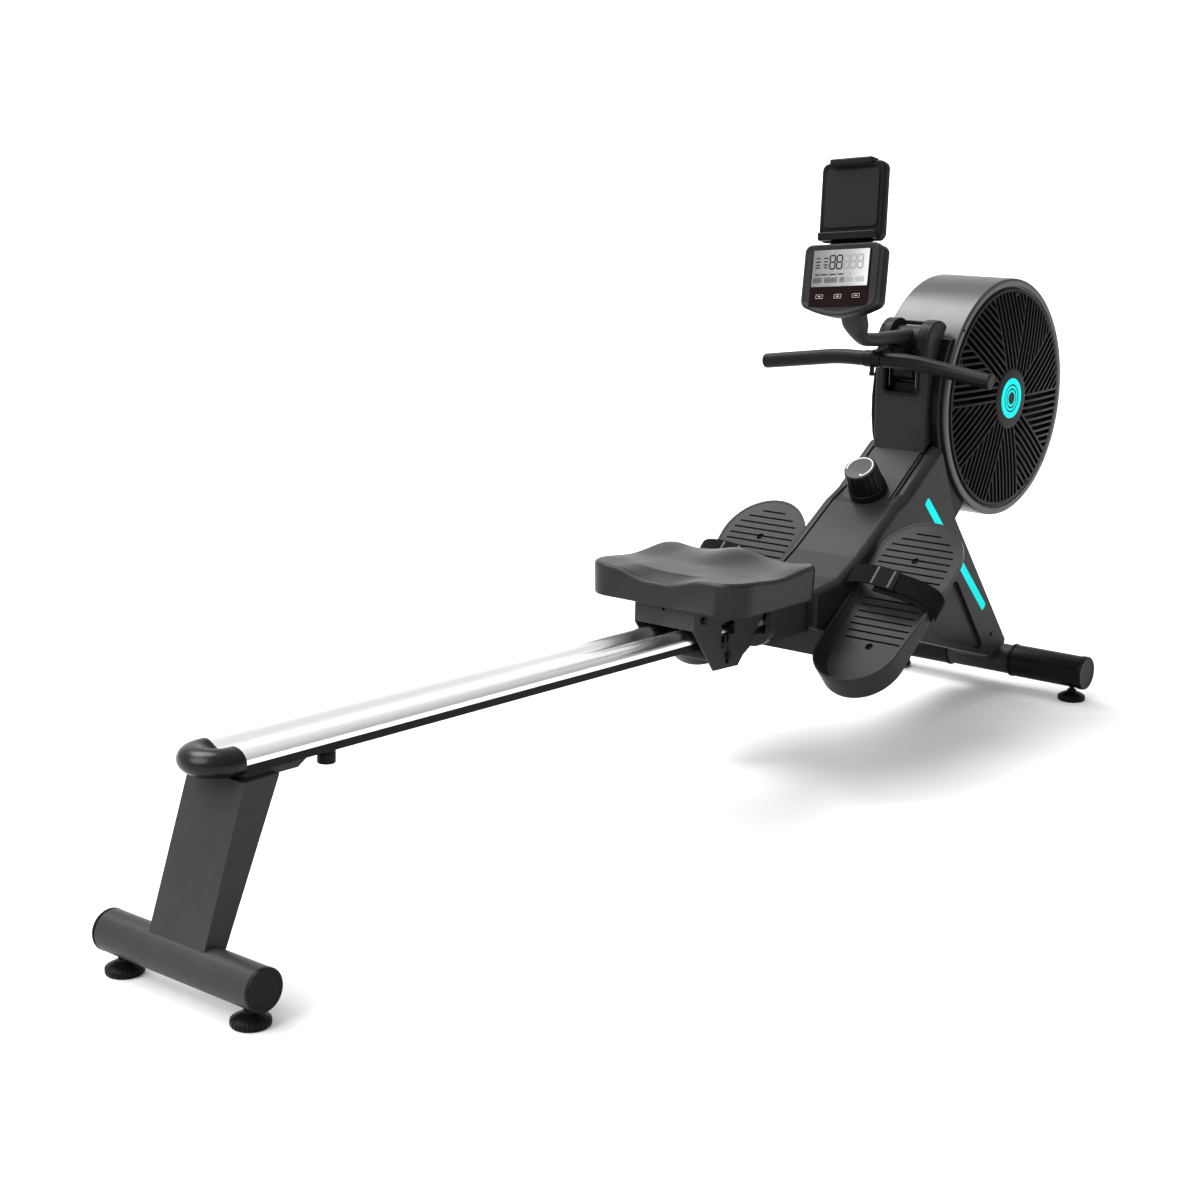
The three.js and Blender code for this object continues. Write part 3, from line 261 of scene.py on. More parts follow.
STRIP = surface("button_strip", (0.008, 0.0030, 0.0022), (0.011, 0.0045, 0.0034), 0.30, 900, 0.00002,
    spec=0.08)
INK = surface("display_ink", 0.008, 0.016, 0.5, 900, 0.00002, spec=0.2)
# Printed figures with painted glare: figures on the display's bright -Y side get this paler ink, as if
# washed out by the painted reflection.
INK_IN_PAINTED_GLARE = surface("display_ink_in_painted_glare", (0.17, 0.172, 0.175), (0.26, 0.262, 0.265), 0.5, 900, 0.00002,
    spec=0.2)
PRINT = surface("key_print", (0.38, 0.36, 0.35), (0.52, 0.50, 0.49), 0.5, 900, 0.00002)
SCALE_INK = surface("scale_print", 0.62, 0.74, 0.4, 900, 0.00002)
CYAN = surface("cyan_print", (0.0, 0.80, 0.80), (0.0, 0.92, 0.90), 0.5, 1200, 0.00003, spec=0.1)
KNOB_TOP = surface("knob_top_grey", (0.014, 0.014, 0.015), (0.022, 0.022, 0.023), 0.34, 2600, 0.00006,
    spec=0.3)
PAD = surface("holder_pad_rubber", 0.011, 0.015, 0.72, 2600, 0.0001, spec=0.2)


# ---- outlines ----
def rounded(points, radius, steps=6):
    """A polygon with its corners rounded; radius is one number, or one for each corner."""
    count = len(points)
    radii = radius if isinstance(radius, (list, tuple)) else [radius] * count
    result = []
    for i, r in enumerate(radii):
        corner = Vector(points[i])
        before = (Vector(points[i - 1]) - corner)
        after = (Vector(points[(i + 1) % count]) - corner)
        if r <= 0:
            result.append(tuple(corner))
            continue
        half = before.angle(after) / 2
        reach = min(r / math.tan(half), before.length * 0.49, after.length * 0.49)
        r = reach * math.tan(half)
        bisector = (before.normalized() + after.normalized()).normalized()
        centre = corner + bisector * (r / math.sin(half))
        start = corner + before.normalized() * reach - centre
        end = corner + after.normalized() * reach - centre
        sweep = math.atan2(start.x * end.y - start.y * end.x, start.dot(end))
        for k in range(steps + 1):
            angle = sweep * k / steps
            result.append((centre.x + start.x * math.cos(angle) - start.y * math.sin(angle),
                    centre.y + start.x * math.sin(angle) + start.y * math.cos(angle)))
    return result


def rectangle(u, v, half_u, half_v, radius=0, steps=6):
    corners = [(u - half_u, v - half_v), (u + half_u, v - half_v), (u + half_u, v + half_v),
        (u - half_u, v + half_v)]
    return rounded(corners, radius, steps) if radius else corners


def circle(u, v, r, count=48):
    return [(u + r * math.cos(2 * math.pi * k / count), v + r * math.sin(2 * math.pi * k / count))
        for k in range(count)]


def moved_in(points, distances):
    """A polygon (anticlockwise) with edge i, from corner i to the next, moved inwards by distances[i]."""
    count = len(points)
    result = []
    for i in range(count):
        here, before, after = Vector(points[i]), Vector(points[i - 1]), Vector(points[(i + 1) % count])
        first, second = (here - before).normalized(), (after - here).normalized()
        n1, n2 = Vector((-first.y, first.x)), Vector((-second.y, second.x))
        d1, d2 = distances[i - 1], distances[i]
        det = n1.x * n2.y - n1.y * n2.x
        if abs(det) < 1e-6:
            result.append(tuple(here + n1 * d1))
            continue
        result.append((here.x + (d1 * n2.y - d2 * n1.y) / det, here.y + (n1.x * d2 - n2.x * d1) / det))
    return result


# ---- closed forms: each is (vertices, faces) ----
def placed(u, v, t, plane):
    """A point from its two coordinates in a plane and its distance from it."""
    return {"xz": (u, t, v), "yz": (t, u, v), "xy": (u, v, t)}[plane]


def loft(rings, closed=False):
    """Rings of equal count joined in turn, capped at both ends or closed on themselves."""
    count = len(rings[0])
    verts = [tuple(p) for ring in rings for p in ring]
    faces = []
    last = len(rings) if closed else len(rings) - 1
    for i in range(last):
        a, b = i * count, ((i + 1) % len(rings)) * count
        for k in range(count):
            m = (k + 1) % count
            faces.append((a + k, a + m, b + m, b + k))
    if not closed:
        faces.append(tuple(reversed(range(count))))
        faces.append(tuple(range((len(rings) - 1) * count, len(rings) * count)))
    return verts, faces


def prism(points, low, high, plane):
    return loft([[placed(u, v, t, plane) for u, v in points] for t in (low, high)])


def band(outer, inner, low, high, plane):
    """A frame between two outlines of equal count."""
    rings = [(outer, low), (outer, high), (inner, high), (inner, low)]
    return loft([[placed(u, v, t, plane) for u, v in ring] for ring, t in rings], closed=True)


def lathe(profile, centre=(0, 0, 0), axis="z", count=64, closed=False, wobble=None):
    """A turned form from (radius, distance along the axis) pairs; wobble(angle, radius) is added."""
    rings = []
    for r, t in profile:
        ring = []
        for k in range(count):
            angle = 2 * math.pi * k / count
            q = max(r, 0.01) + (wobble(angle, r) if wobble and r > 1 else 0)
            u, v = q * math.cos(angle), q * math.sin(angle)
            x, y, z = {"z": (u, v, t), "y": (u, t, v), "x": (t, u, v)}[axis]
            ring.append((centre[0] + x, centre[1] + y, centre[2] + z))
        rings.append(ring)
    return loft(rings, closed)


def rod(r, low, high, *place, **kind):
    """A plain cylinder between two distances along its axis."""
    return lathe([(0, low), (r, low), (r, high), (0, high)], *place, **kind)


def side_span(sign, near, far):
    """The two distances from the middle plane, on the given side, in rising order."""
    return sorted((sign * near, sign * far))


def sweep(path, section):
    """A form swept along 3D points; section(i) gives the ring's (side, up) pairs at point i."""
    points = [Vector(p) for p in path]
    rings = []
    side = None
    for i, p in enumerate(points):
        tangent = (points[min(i + 1, len(points) - 1)] - points[max(i - 1, 0)]).normalized()
        if side is None:
            side = tangent.cross(Vector((0, 0, 1)) if abs(tangent.z) < 0.9
                else Vector((1, 0, 0))).normalized()
        side = (side - tangent * side.dot(tangent)).normalized()
        up = side.cross(tangent)
        rings.append([tuple(p + side * u + up * v) for u, v in section(i)])
    return loft(rings)


def arc_path(points, radius, steps=8):
    """A path in one plane with its inner corners rounded."""
    result = [Vector(points[0])]
    for i in range(1, len(points) - 1):
        corner = Vector(points[i])
        before, after = Vector(points[i - 1]) - corner, Vector(points[i + 1]) - corner
        half = before.angle(after) / 2
        reach = min(radius / math.tan(half), before.length * 0.49, after.length * 0.49)
        a, b = corner + before.normalized() * reach, corner + after.normalized() * reach
        for k in range(steps + 1):
            t = k / steps
            result.append(a * (1 - t) ** 2 + corner * 2 * t * (1 - t) + b * t ** 2)
    result.append(Vector(points[-1]))
    return result


def merged(*forms):
    """Several forms as one."""
    verts, faces = [], []
    for v, f in forms:
        base = len(verts)
        verts += v
        faces += [tuple(i + base for i in face) for face in f]
    return verts, faces


def shifted(form, matrix):
    """A form moved by a matrix."""
    verts, faces = form
    return [tuple(matrix @ Vector(v)) for v in verts], faces


# ---- pieces ----
def new_object(name, form, place):
    """A mesh object from a form in its group's axes."""
    mesh = bpy.data.meshes.new(name)
    mesh.from_pydata([tuple(place @ Vector(v)) for v in form[0]], [], form[1])
    obj = bpy.data.objects.new(name, mesh)
    bpy.context.scene.collection.objects.link(obj)
    tidy = bmesh.new()
    tidy.from_mesh(mesh)
    bmesh.ops.remove_doubles(tidy, verts=tidy.verts, dist=2e-6)
    bmesh.ops.recalc_face_normals(tidy, faces=tidy.faces)
    tidy.to_mesh(mesh)
    tidy.free()
    return obj


def applied(obj):
    """Replaces obj's mesh by what its modifiers make of it."""
    bpy.context.view_layer.update()
    result = bpy.data.meshes.new_from_object(obj.evaluated_get(bpy.context.evaluated_depsgraph_get()))
    obj.modifiers.clear()
    obj.data = result


def carved(obj, cutters, place):
    """Cuts each form out of obj, in turn."""
    for form in cutters:
        cutter = new_object("cutter", form, place)
        modifier = obj.modifiers.new("carve", "BOOLEAN")
        modifier.object = cutter
        modifier.solver = "EXACT"
        applied(obj)
        bpy.data.objects.remove(cutter)


def edged(obj, width, segments=3, angle=35):
    """Rounds the edges sharper than angle."""
    if width:
        modifier = obj.modifiers.new("edge", "BEVEL")
        modifier.width = width / 1000
        modifier.segments = segments
        modifier.limit_method = "ANGLE"
        modifier.angle_limit = math.radians(angle)
        modifier.harden_normals = False
        applied(obj)


def finished(obj, material, body, nodes=(), angle=32):
    """Gives a piece its finish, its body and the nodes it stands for."""
    obj.data.materials.clear()
    obj.data.materials.append(material)
    for polygon in obj.data.polygons:
        polygon.use_smooth = True
    obj.data.set_sharp_from_angle(angle=math.radians(angle))
    modifier = obj.modifiers.new("normals", "WEIGHTED_NORMAL")
    modifier.keep_sharp = True
    applied(obj)
    if body:
        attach(obj, body)
    if nodes:
        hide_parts(*([nodes] if isinstance(nodes, str) else nodes))
    return obj


def make(name, form, place, material, body, nodes=(), edge=0.0, cut=(), edge_after=0.0, angle=32,
        segments=3):
    """A finished piece: the form, its large edge rounding, its cuts, then its small edge rounding."""
    obj = new_object(name, form, place)
    edged(obj, edge, segments)
    carved(obj, cut, place)
    edged(obj, edge_after, 2)
    return finished(obj, material, body, nodes, angle)


def stand_in(node, form, place, material, body, **kind):
    """A finished piece that takes the place of one frame node."""
    return make(node + "_looks", form, place, material, body, node, **kind)


def softened(node, material, body, edge=0.8, cut=(), place=MACHINE, angle=32):
    """A copy of a frame node with its facets joined and its edges rounded."""
    obj = bpy.data.objects.new(node + "_looks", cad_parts[node].data.copy())
    obj.data.name = node + "_looks"
    bpy.context.scene.collection.objects.link(obj)
    mesh = bmesh.new()
    mesh.from_mesh(obj.data)
    bmesh.ops.remove_doubles(mesh, verts=mesh.verts, dist=1e-6)
    bmesh.ops.dissolve_limit(mesh, angle_limit=math.radians(1), verts=mesh.verts, edges=mesh.edges)
    mesh.to_mesh(obj.data)
    mesh.free()
    for attribute in [a.name for a in obj.data.attributes if a.name.startswith("custom_normal")]:
        obj.data.attributes.remove(obj.data.attributes[attribute])
    carved(obj, cut, place)
    edged(obj, edge, 2)
    return finished(obj, material, body, node, angle)


# ---- stabilisers, feet and post ----
def tube_profile(r, half, wall=2.5):
    """The section of an open tube with its outer ends eased."""
    return [(r - wall, -half), (r - 0.6, -half), (r, -half + 0.6), (r, half - 0.6), (r - 0.6, half),
        (r - wall, half)]


def foot(name, bar, sign):
    """A levelling foot: a fluted rubber pad under a threaded stem."""
    pad_r, lobes, flute_depth, engaged = 27.3, 26, 0.9, 16

    def flutes(angle, r):
        return -flute_depth * (0.5 - 0.5 * math.cos(lobes * angle)) if r > pad_r - 2.2 else 0

    stem_top = bar["foot_top"]
    profile = [(0, 0), (pad_r - 3, 0), (pad_r - 1.5, 0.8), (pad_r, 2.6), (pad_r, 9), (pad_r - 1, 10.8),
        (pad_r - 4, 12.4), (18, 15.5), (12.5, 17.5), (9.5, 18.6), (9.2, 21), (8.6, 22.6), (5.2, 23.2),
        (5, stem_top), (5, stem_top + engaged), (0, stem_top + engaged)]
    stand_in(name, lathe(profile, (bar["x"], sign * bar["foot_y"], 0), count=lobes * 6, wobble=flutes),
        MACHINE, BLACK, name, angle=40)


def stem_holes(bar):
    """Cutters for the two threaded stems under a stabiliser."""
    return [rod(5.6, 15, bar["z"] - 8, (bar["x"], sign * bar["foot_y"], 0), count=32)
        for sign in SIDES.values()]


def stabilisers():
    """Both stabiliser tubes with their caps, sleeves and feet."""
    for label, bar in (("rear", REAR), ("front", FRONT)):
        half = bar["half"] - 6
        make(f"{label}_stabilizer_looks", lathe(tube_profile(TUBE_R, half), (bar["x"], 0, bar["z"]), "y",
                96, closed=True), MACHINE, PAINT, "frame", f"{label}_stabilizer_tube", cut=stem_holes(bar))
    for side, sign in SIDES.items():
        half = REAR["half"]
        cap = [(0, half - 22), (27, half - 22), (27, half - 5.4), (TUBE_R + 0.3, half - 5.2),
            (TUBE_R + 0.3, half - 2), (TUBE_R - 0.6, half - 0.5), (TUBE_R - 2.2, half),
            (TUBE_R - 5, half - 0.3), (TUBE_R - 7, half - 0.9), (0, half - 0.4)]
        stand_in(f"rear_end_cap_{side}", lathe([(r, sign * t) for r, t in cap], (REAR["x"], 0, REAR["z"]),
                "y", 96), MACHINE, BLACK, "frame", angle=40)
        r, half, near = FRONT["sleeve_r"], FRONT["half"], FRONT["sleeve_y"]
        inner = TUBE_R + 0.3
        sleeve = [(inner, near), (r + 0.6, near), (r + 1.2, near + 1), (r + 1.2, near + 5),
            (r + 0.8, near + 5.8), (r - 0.6, near + 6.2), (r - 0.6, near + 7.2), (r, near + 8),
            (r, half - 14.4), (r + 0.7, half - 13.6), (r + 1.4, half - 12.6), (r + 1.4, half - 3),
            (r + 0.4, half - 0.8), (r - 1.6, half), (r - 4.6, half - 0.2), (r - 6, half - 1),
            (0, half - 0.6), (0, half - 5.4), (inner, half - 5.4)]
        stand_in(f"front_end_sleeve_{side}", lathe([(q, sign * t) for q, t in sleeve],
                (FRONT["x"], 0, FRONT["z"]), "y", 96, closed=True), MACHINE, BLACK, "frame", angle=40,
            cut=[stem_holes(FRONT)[0 if sign < 0 else 1]])
        foot(f"rear_foot_{side}", REAR, sign)
        foot(f"front_foot_{side}", FRONT, sign)


# ---- rail ----
def track_height(y):
    """Height of the rail's top: a valley in the middle, a hump on each side, and a fall."""
    d = abs(y)
    if d <= HUMP_Y:
        return VALLEY_Z + (HUMP_Z - VALLEY_Z) * (0.5 - 0.5 * math.cos(math.pi * d / HUMP_Y))
    t = (d - HUMP_Y) / (RAIL_HALF - HUMP_Y)
    return 320 + (HUMP_Z - 320) * math.sqrt(max(0, 1 - t * t))


def rail():
    """The track, its end cap and stops, and the pieces that carry it."""
    steps, base, skin = 72, 315.6, 4
    across = [RAIL_HALF * math.sin(math.pi * (i / steps - 0.5)) for i in range(steps + 1)]
    top = [(y, track_height(y)) for y in across]
    under = [(y, max(track_height(y) - skin, base + 1)) for y in reversed(across)
        if abs(y) < RAIL_HALF - skin]
    outline = [(-RAIL_HALF, base), *top, (RAIL_HALF, base), (RAIL_HALF - skin, base), *under,
        (-RAIL_HALF + skin, base)]
    stand_in("rail_track", prism(outline, RAIL_START, RAIL_END, "yz"), RAIL, ALUMINIUM, "frame", angle=40)

    centre_x, crown = 65, 337.2
    profile = [(HUMP_Y * k / 10, 326.6 + (crown - 326.6) * (0.5 - 0.5 * math.cos(math.pi * k / 10)))
        for k in range(10)]
    for k in range(19):
        angle = math.pi * (0.5 - k / 18)
        profile.append((HUMP_Y + 24.5 * math.cos(angle), 317.6 + 19.6 * math.sin(angle)))
    profile.append((0, 298))
    stations = [(RAIL_START - 0.3, 1)] + [None] * 37 + [(RAIL_START - 0.3, -1)]
    rings = []
    for i, station in enumerate(stations):
        angle = math.pi / 2 + math.pi * (i - 1) / 36
        ring = []
        for r, z in profile:
            if station:
                ring.append((station[0], station[1] * r, z))
            else:
                ring.append((centre_x + r * math.cos(angle), r * math.sin(angle), z))
        rings.append(ring)
    verts = [p for ring in rings for p in ring]
    count = len(profile)
    faces = [(i * count + k, i * count + k + 1, (i + 1) * count + k + 1, (i + 1) * count + k)
        for i in range(len(rings) - 1) for k in range(count - 1)]
    faces += [tuple(range(count)), tuple(range((len(rings) - 1) * count, len(rings) * count))]
    stand_in("rail_end_cap", (verts, faces), RAIL, GLOSS, "frame", angle=50)

    stop = [(0, 281), (12, 281), (12.9, 282), (13, 295.4), (11.6, 296), (11.6, 297), (13, 297.6),
        (13, 302), (0, 302)]
    for side, sign in SIDES.items():
        stand_in(f"seat_stop_{side}", lathe(stop, (SEAT_STOP["x"], sign * SEAT_STOP["y"], 0), count=48),
            RAIL, RUBBER, "frame")
    softened("rail_channel", BLACK, "frame", 0.8)
    softened("rear_post", PAINT, "frame", 1.2)
    softened("rail_collar", PAINT, "frame", 1.6)


# ---- seat ----
def smooth(t):
    t = min(1.0, max(0.0, t))
    return t * t * (3 - 2 * t)


def bell(x, centre, width):
    return math.exp(-((x - centre) / width) ** 2)


def seat_height(u, v):
    """Height of the saddle's top; u runs from -1 at its rear to 1 at its front, v across it."""
    side = abs(v)
    height = 49 + 1.5 * smooth((side - 0.6) / 0.3)
    height += 5.0 * smooth((-u + 0.05) / 0.7) * smooth((side - 0.16) / 0.40)
    height += smooth((u - 0.05) / 0.8) * (5.0 + 13.0 * bell(side, 0, 0.30)
        + 3.5 * smooth((side - 0.6) / 0.35))
    scoop = min(1.0, max(0.0, (-u - 0.62) / 0.38))
    return height - 11.0 * scoop ** 0.7 * math.exp(-(side / 0.40) ** 3)


def seat_plan(inset, count=220):
    """The saddle's outline, anticlockwise, with large rear corners and smaller front ones."""
    length = SEAT_FRONT - SEAT_REAR
    corners = [(inset, -SEAT_HALF + inset), (length - inset, -SEAT_HALF + inset),
        (length - inset, SEAT_HALF - inset), (inset, SEAT_HALF - inset)]
    radii = [50 - inset, 26 - inset * 0.6, 26 - inset * 0.6, 50 - inset]
    outline = rounded(corners, [max(r, 2) for r in radii], 16)
    points = [Vector(p) for p in outline]
    lengths = [0.0]
    for i in range(len(points)):
        lengths.append(lengths[-1] + (points[(i + 1) % len(points)] - points[i]).length)
    result = []
    k = 0
    for step in range(count):
        target = lengths[-1] * step / count
        while lengths[k + 1] < target:
            k += 1
        t = (target - lengths[k]) / max(lengths[k + 1] - lengths[k], 1e-9)
        result.append(points[k].lerp(points[(k + 1) % len(points)], t))
    return result


def seat():
    """The saddle, its carriage, axles, four wheels and the lower roller."""
    length = SEAT_FRONT - SEAT_REAR
    middle = Vector((length / 2, 0))

    def top(point, drop=0.0):
        u = (point.x - length / 2) / (length / 2)
        v = point.y / SEAT_HALF
        return (SEAT_REAR + point.x, point.y, SEAT_UNDER + seat_height(u, v) - drop)

    edge_r = 7.0
    rings = []
    for z, draw in ((0, 3.6), (0.4, 2.2), (1.6, 1.4)):
        rings.append([(SEAT_REAR + q.x, q.y, SEAT_UNDER + z) for q in seat_plan(draw)])
    for k in range(1, 6):
        share = k / 6
        ring = []
        for q in seat_plan(1.4 * (1 - share)):
            x, y, z = top(q, edge_r)
            low = SEAT_UNDER + 1.6
            ring.append((x, y, low + (z - low) * share))
        rings.append(ring)
    for k in range(7):
        angle = math.pi / 2 * k / 6
        inset = edge_r * (1 - math.cos(angle))
        rings.append([top(q, edge_r * (1 - math.sin(angle))) for q in seat_plan(inset)])
    inner = seat_plan(edge_r)
    shrink = 46
    for k in range(1, shrink):
        share = 1 - k / shrink
        rings.append([top(middle + (q - middle) * share) for q in inner])
    pad = stand_in("seat_pad", loft(rings), RAIL, SKIN, "seat", angle=60)

    apron_hole = rod(2.6, 1010, 1030, (0, 2, 369), "x", 24)
    window = [(1098, 300), (1110, 300), (1110, 320), (1136, 320), (1136, 341), (1098, 341)]
    roller_x, roller_z, slot_z = LOWER_ROLLER["x"], LOWER_ROLLER["z"], 276
    slot_end = rod(6, -70, 70, (roller_x, 0, slot_z), "y", 32)
    softened("seat_carriage", PAINT, "seat", 0.7, cut=[apron_hole, prism(window, -70, 70, "xz"), slot_end],
        place=RAIL)
    for side, sign in SIDES.items():
        nut = [(0, sign * 56), (11, sign * 56), (11, sign * 58), (0, sign * 58)]
        bolt = lathe(nut, (roller_x, 0, slot_z), "y", 6)
        make(f"seat_slot_nut_{side}", bolt, RAIL, BLACK, "seat", edge_after=0.4)
    for end in ("rear", "front"):
        softened(f"seat_axle_{end}", BLACK, "seat", 0.5)
    wheel_r, running_gap = 18.6, 0.3
    wheel_z = HUMP_Z + running_gap + wheel_r
    tread = [(4.4, -11), (12, -11), (13, -9.6), (14.5, -9.6), (16.6, -10.8), (18, -9.2), (wheel_r, -5),
        (wheel_r, 5), (18, 9.2), (16.6, 10.8), (14.5, 9.6), (13, 9.6), (12, 11), (4.4, 11)]
    for end, station in WHEEL_STATIONS.items():
        for side, sign in SIDES.items():
            stand_in(f"seat_wheel_{end}_{side}", lathe(tread, (station, sign * HUMP_Y, wheel_z), "y", 64,
                    closed=True), RAIL, RUBBER, f"seat_wheels_{end}")
    barrel = [(4, -62), (4, -45.4), (10, -45), (14.6, -43), (16.4, -38), (17, -20), (17, 20), (16.4, 38),
        (14.6, 43), (10, 45), (4, 45.4), (4, 62)]
    nut = circle(roller_x, roller_z, 7, 6)
    roller = merged(lathe([(0, -63), *barrel, (0, 63)], (roller_x, 0, roller_z), "y", 64),
        *[prism(nut, *side_span(sign, 62.4, 66.5), "xz") for sign in SIDES.values()])
    make("seat_roller_looks", roller, RAIL, RUBBER, "seat_roller", "seat_roller_lower", edge_after=0.3)


# ---- footplates ----
def footplate_outline(inset, count=168):
    """The footplate's plan: a toe circle and a heel circle with their common tangents."""
    toe, heel, spacing = PEDAL["toe_r"] - inset, PEDAL["heel_r"] - inset, PEDAL["spacing"]
    lean = math.asin((PEDAL["toe_r"] - PEDAL["heel_r"]) / spacing)
    half = count // 4
    points = []
    for k in range(half + 1):
        angle = -math.pi / 2 - lean + (math.pi + 2 * lean) * k / half
        points.append(Vector((toe * math.cos(angle), toe * math.sin(angle))))
    start = Vector((-spacing + heel * math.cos(math.pi / 2 + lean), heel * math.sin(math.pi / 2 + lean)))
    for k in range(1, half):
        points.append(points[half].lerp(start, k / half))
    for k in range(half + 1):
        angle = math.pi / 2 + lean + (math.pi - 2 * lean) * k / half
        points.append(Vector((-spacing + heel * math.cos(angle), heel * math.sin(angle))))
    finish, first = points[-1].copy(), points[0].copy()
    for k in range(1, half):
        points.append(finish.lerp(first, k / half))
    return points


def rim_height(s):
    """Height of the footplate's rim, which rises towards the heel."""
    return PEDAL_RIM * min(1.0, max(0.0, (-s - 46) / 254)) ** 0.85


def groove(s, y0, y1, width=3.6, depth=4.0):
    """A round-ended groove across the tread."""
    r = width / 2
    low, high = min(y0, y1) + r, max(y0, y1) - r
    outline = [(s + r * math.cos(math.pi + math.pi * k / 8), low + r * math.sin(math.pi + math.pi * k / 8))
        for k in range(9)]
    outline += [(s + r * math.cos(math.pi * k / 8), high + r * math.sin(math.pi * k / 8)) for k in range(9)]
    return prism(outline, -depth, 2, "xy")


def footplates():
    """Both footplates: a grooved tread within a rim that rises round the heel, bolts, and a strap."""
    toe_grooves = [(59, 26), (44.5, 50), (30, 63), (15.5, 69), (1, 71), (-13, 71), (-28, 71), (-42.5, 70)]
    heel_grooves = [(-94, 58), (-109, 58), (-124, 58), (-138, 59), (-152, 60), (-166.5, 58), (-182, 56)]
    bolt_stations, socket_r = (-0.5, -195), 7.6
    for side, sign in SIDES.items():
        place = footplate_place(sign)

        def ring(height_share, inset_extra, fixed=None, lean=0.0):
            points = []
            for flared, plain in zip(footplate_outline(inset_extra), footplate_outline(0)):
                rim = max(rim_height(plain.x), 0.8)
                z = fixed if fixed is not None else rim * height_share
                lean_in = lean * smooth((-plain.x - 40) / 120) * (1 - height_share) ** 1.6
                centre_s = min(0.0, max(-PEDAL["spacing"], flared.x))
                centre = Vector((centre_s, 0))
                outward = flared - centre
                scale = max(0.2, 1 - lean_in / max(outward.length, 1))
                q = centre + outward * scale
                points.append((q.x, q.y, z))
            return points

        floor, wall = PEDAL["floor"], 4.5
        rings = [ring(0, 2.5, -floor), ring(0, 0.8, -floor + 0.6), ring(0, 0, -floor + 2.4),
            ring(0, 0, -0.5)]
        rings += [ring(k / 8, 0) for k in range(1, 8)]
        rings += [ring(0.97, 0.3), ring(1.0, 1.3), ring(1.0, wall - 1.3), ring(0.97, wall - 0.3)]
        rings += [ring(k / 8, wall, lean=11) for k in range(7, 0, -1)]
        rings += [ring(0, wall + 0.6, 0.35, 11), ring(0, wall + 2.5, 0.0, 11)]
        cuts = [groove(s, -half, half) for s, half in toe_grooves + heel_grooves]
        cuts += [prism(circle(s, 0, socket_r, 6), -7, 3, "xy") for s in bolt_stations]
        stand_in(f"pedal_{side}", loft(rings), place, PLASTIC, "frame", cut=cuts, angle=35)
        for k, s in enumerate(bolt_stations):
            head = lathe([(0, -7.2), (5.2, -7.2), (5.2, -4.4), (4.4, -3.8), (2.4, -3.6), (0, -5)],
                (s, 0, 0), count=32)
            make(f"pedal_bolt_{side}_{k}", head, place, BLACK, "frame")
        foot_strap(side, place)


STRAP_ARCH = [(-89.5, -11), (-91, 0), (-88, 12), (-76, 23), (-52, 33), (-20, 40), (14, 45), (44, 46),
    (72, 40), (90, 26), (94, 11), (91, 0), (89.5, -11)]


def smooth_curve(points, per_span=8):
    """A curve through the points (Catmull-Rom)."""
    result = []
    for i in range(len(points) - 1):
        p0, p1 = Vector(points[max(i - 1, 0)]), Vector(points[i])
        p2, p3 = Vector(points[i + 1]), Vector(points[min(i + 2, len(points) - 1)])
        for k in range(per_span):
            t = k / per_span
            result.append(0.5 * (2 * p1 + (p2 - p0) * t + (2 * p0 - 5 * p1 + 4 * p2 - p3) * t ** 2
                    + (3 * p1 - p0 - 3 * p2 + p3) * t ** 3))
    return result + [Vector(points[-1])]


def foot_strap(side, place):
    """A wide webbing strap over the foot: outer webbing, a fuzzy overlap and two lines of stitches."""
    rear, front, edge, twist = -91, -53, 0.4, 20
    curve = smooth_curve(STRAP_ARCH)

    def strip(t0, t1, low, high, lift, thick, skew=5.0):
        """A length of the strap, its ends given as shares of the arch, raised by lift."""
        last = len(curve) - 1
        first, final = round(t0 * last), round(t1 * last)
        rings = []
        for i in range(first, final + 1):
            ahead = (curve[min(i + 1, last)] - curve[max(i - 1, 0)]).normalized()
            outward = Vector((ahead.y, -ahead.x)) * -1
            a, b = curve[i] + outward * lift, curve[i] + outward * (lift + thick)
            shift = skew * math.sin(math.pi * i / last) - twist * (1 - i / last)
            middle, start, end = (a + b) / 2, low + shift, high + shift
            stations = (start, a), (start - edge, middle), (start, b), (end, b), (end + edge,
                middle), (end, a)
            rings.append([(s, q.x, q.y) for s, q in stations])
        return loft(rings)

    web = strip(0, 1, rear, front, -1.9, 1.9)
    stand_in(f"pedal_strap_{side}", web, place, WEBBING, "frame", angle=60)
    for layer, form, material in (("pad", strip(0.05, 0.52, rear - 10, front - 12, -5.2, 2.6), FUZZ_DARK),
            ("loop", strip(0.02, 0.45, rear + 0.8, front - 0.8, 0.1, 1.3), FUZZ_DARK),
            ("fuzz", strip(0.54, 0.86, rear - 1, front + 1, 0.1, 2.2), FUZZ),
            ("lap", strip(0.43, 0.55, rear - 1.5, front + 1.5, 1.6, 1.4), WEBBING)):
        make(f"pedal_strap_{layer}_{side}", form, place, material, "frame", angle=60)
    stitches, stitch_pitch, stitch_length, thread = [], 4.1, 2.6, 0.0104
    for t in (0.445, 0.53):
        for k in range(9):
            low = rear + 1.2 + stitch_pitch * k
            stitches.append(strip(t, t + thread, low, low + stitch_length, 3.0, 0.35))
    make(f"pedal_strap_stitches_{side}", merged(*stitches), place, STITCH, "frame")


# ---- body ----
RECESS = [(1640, 235), (1784, 168), (1972, 108), (1848, 270), (1700, 300)]


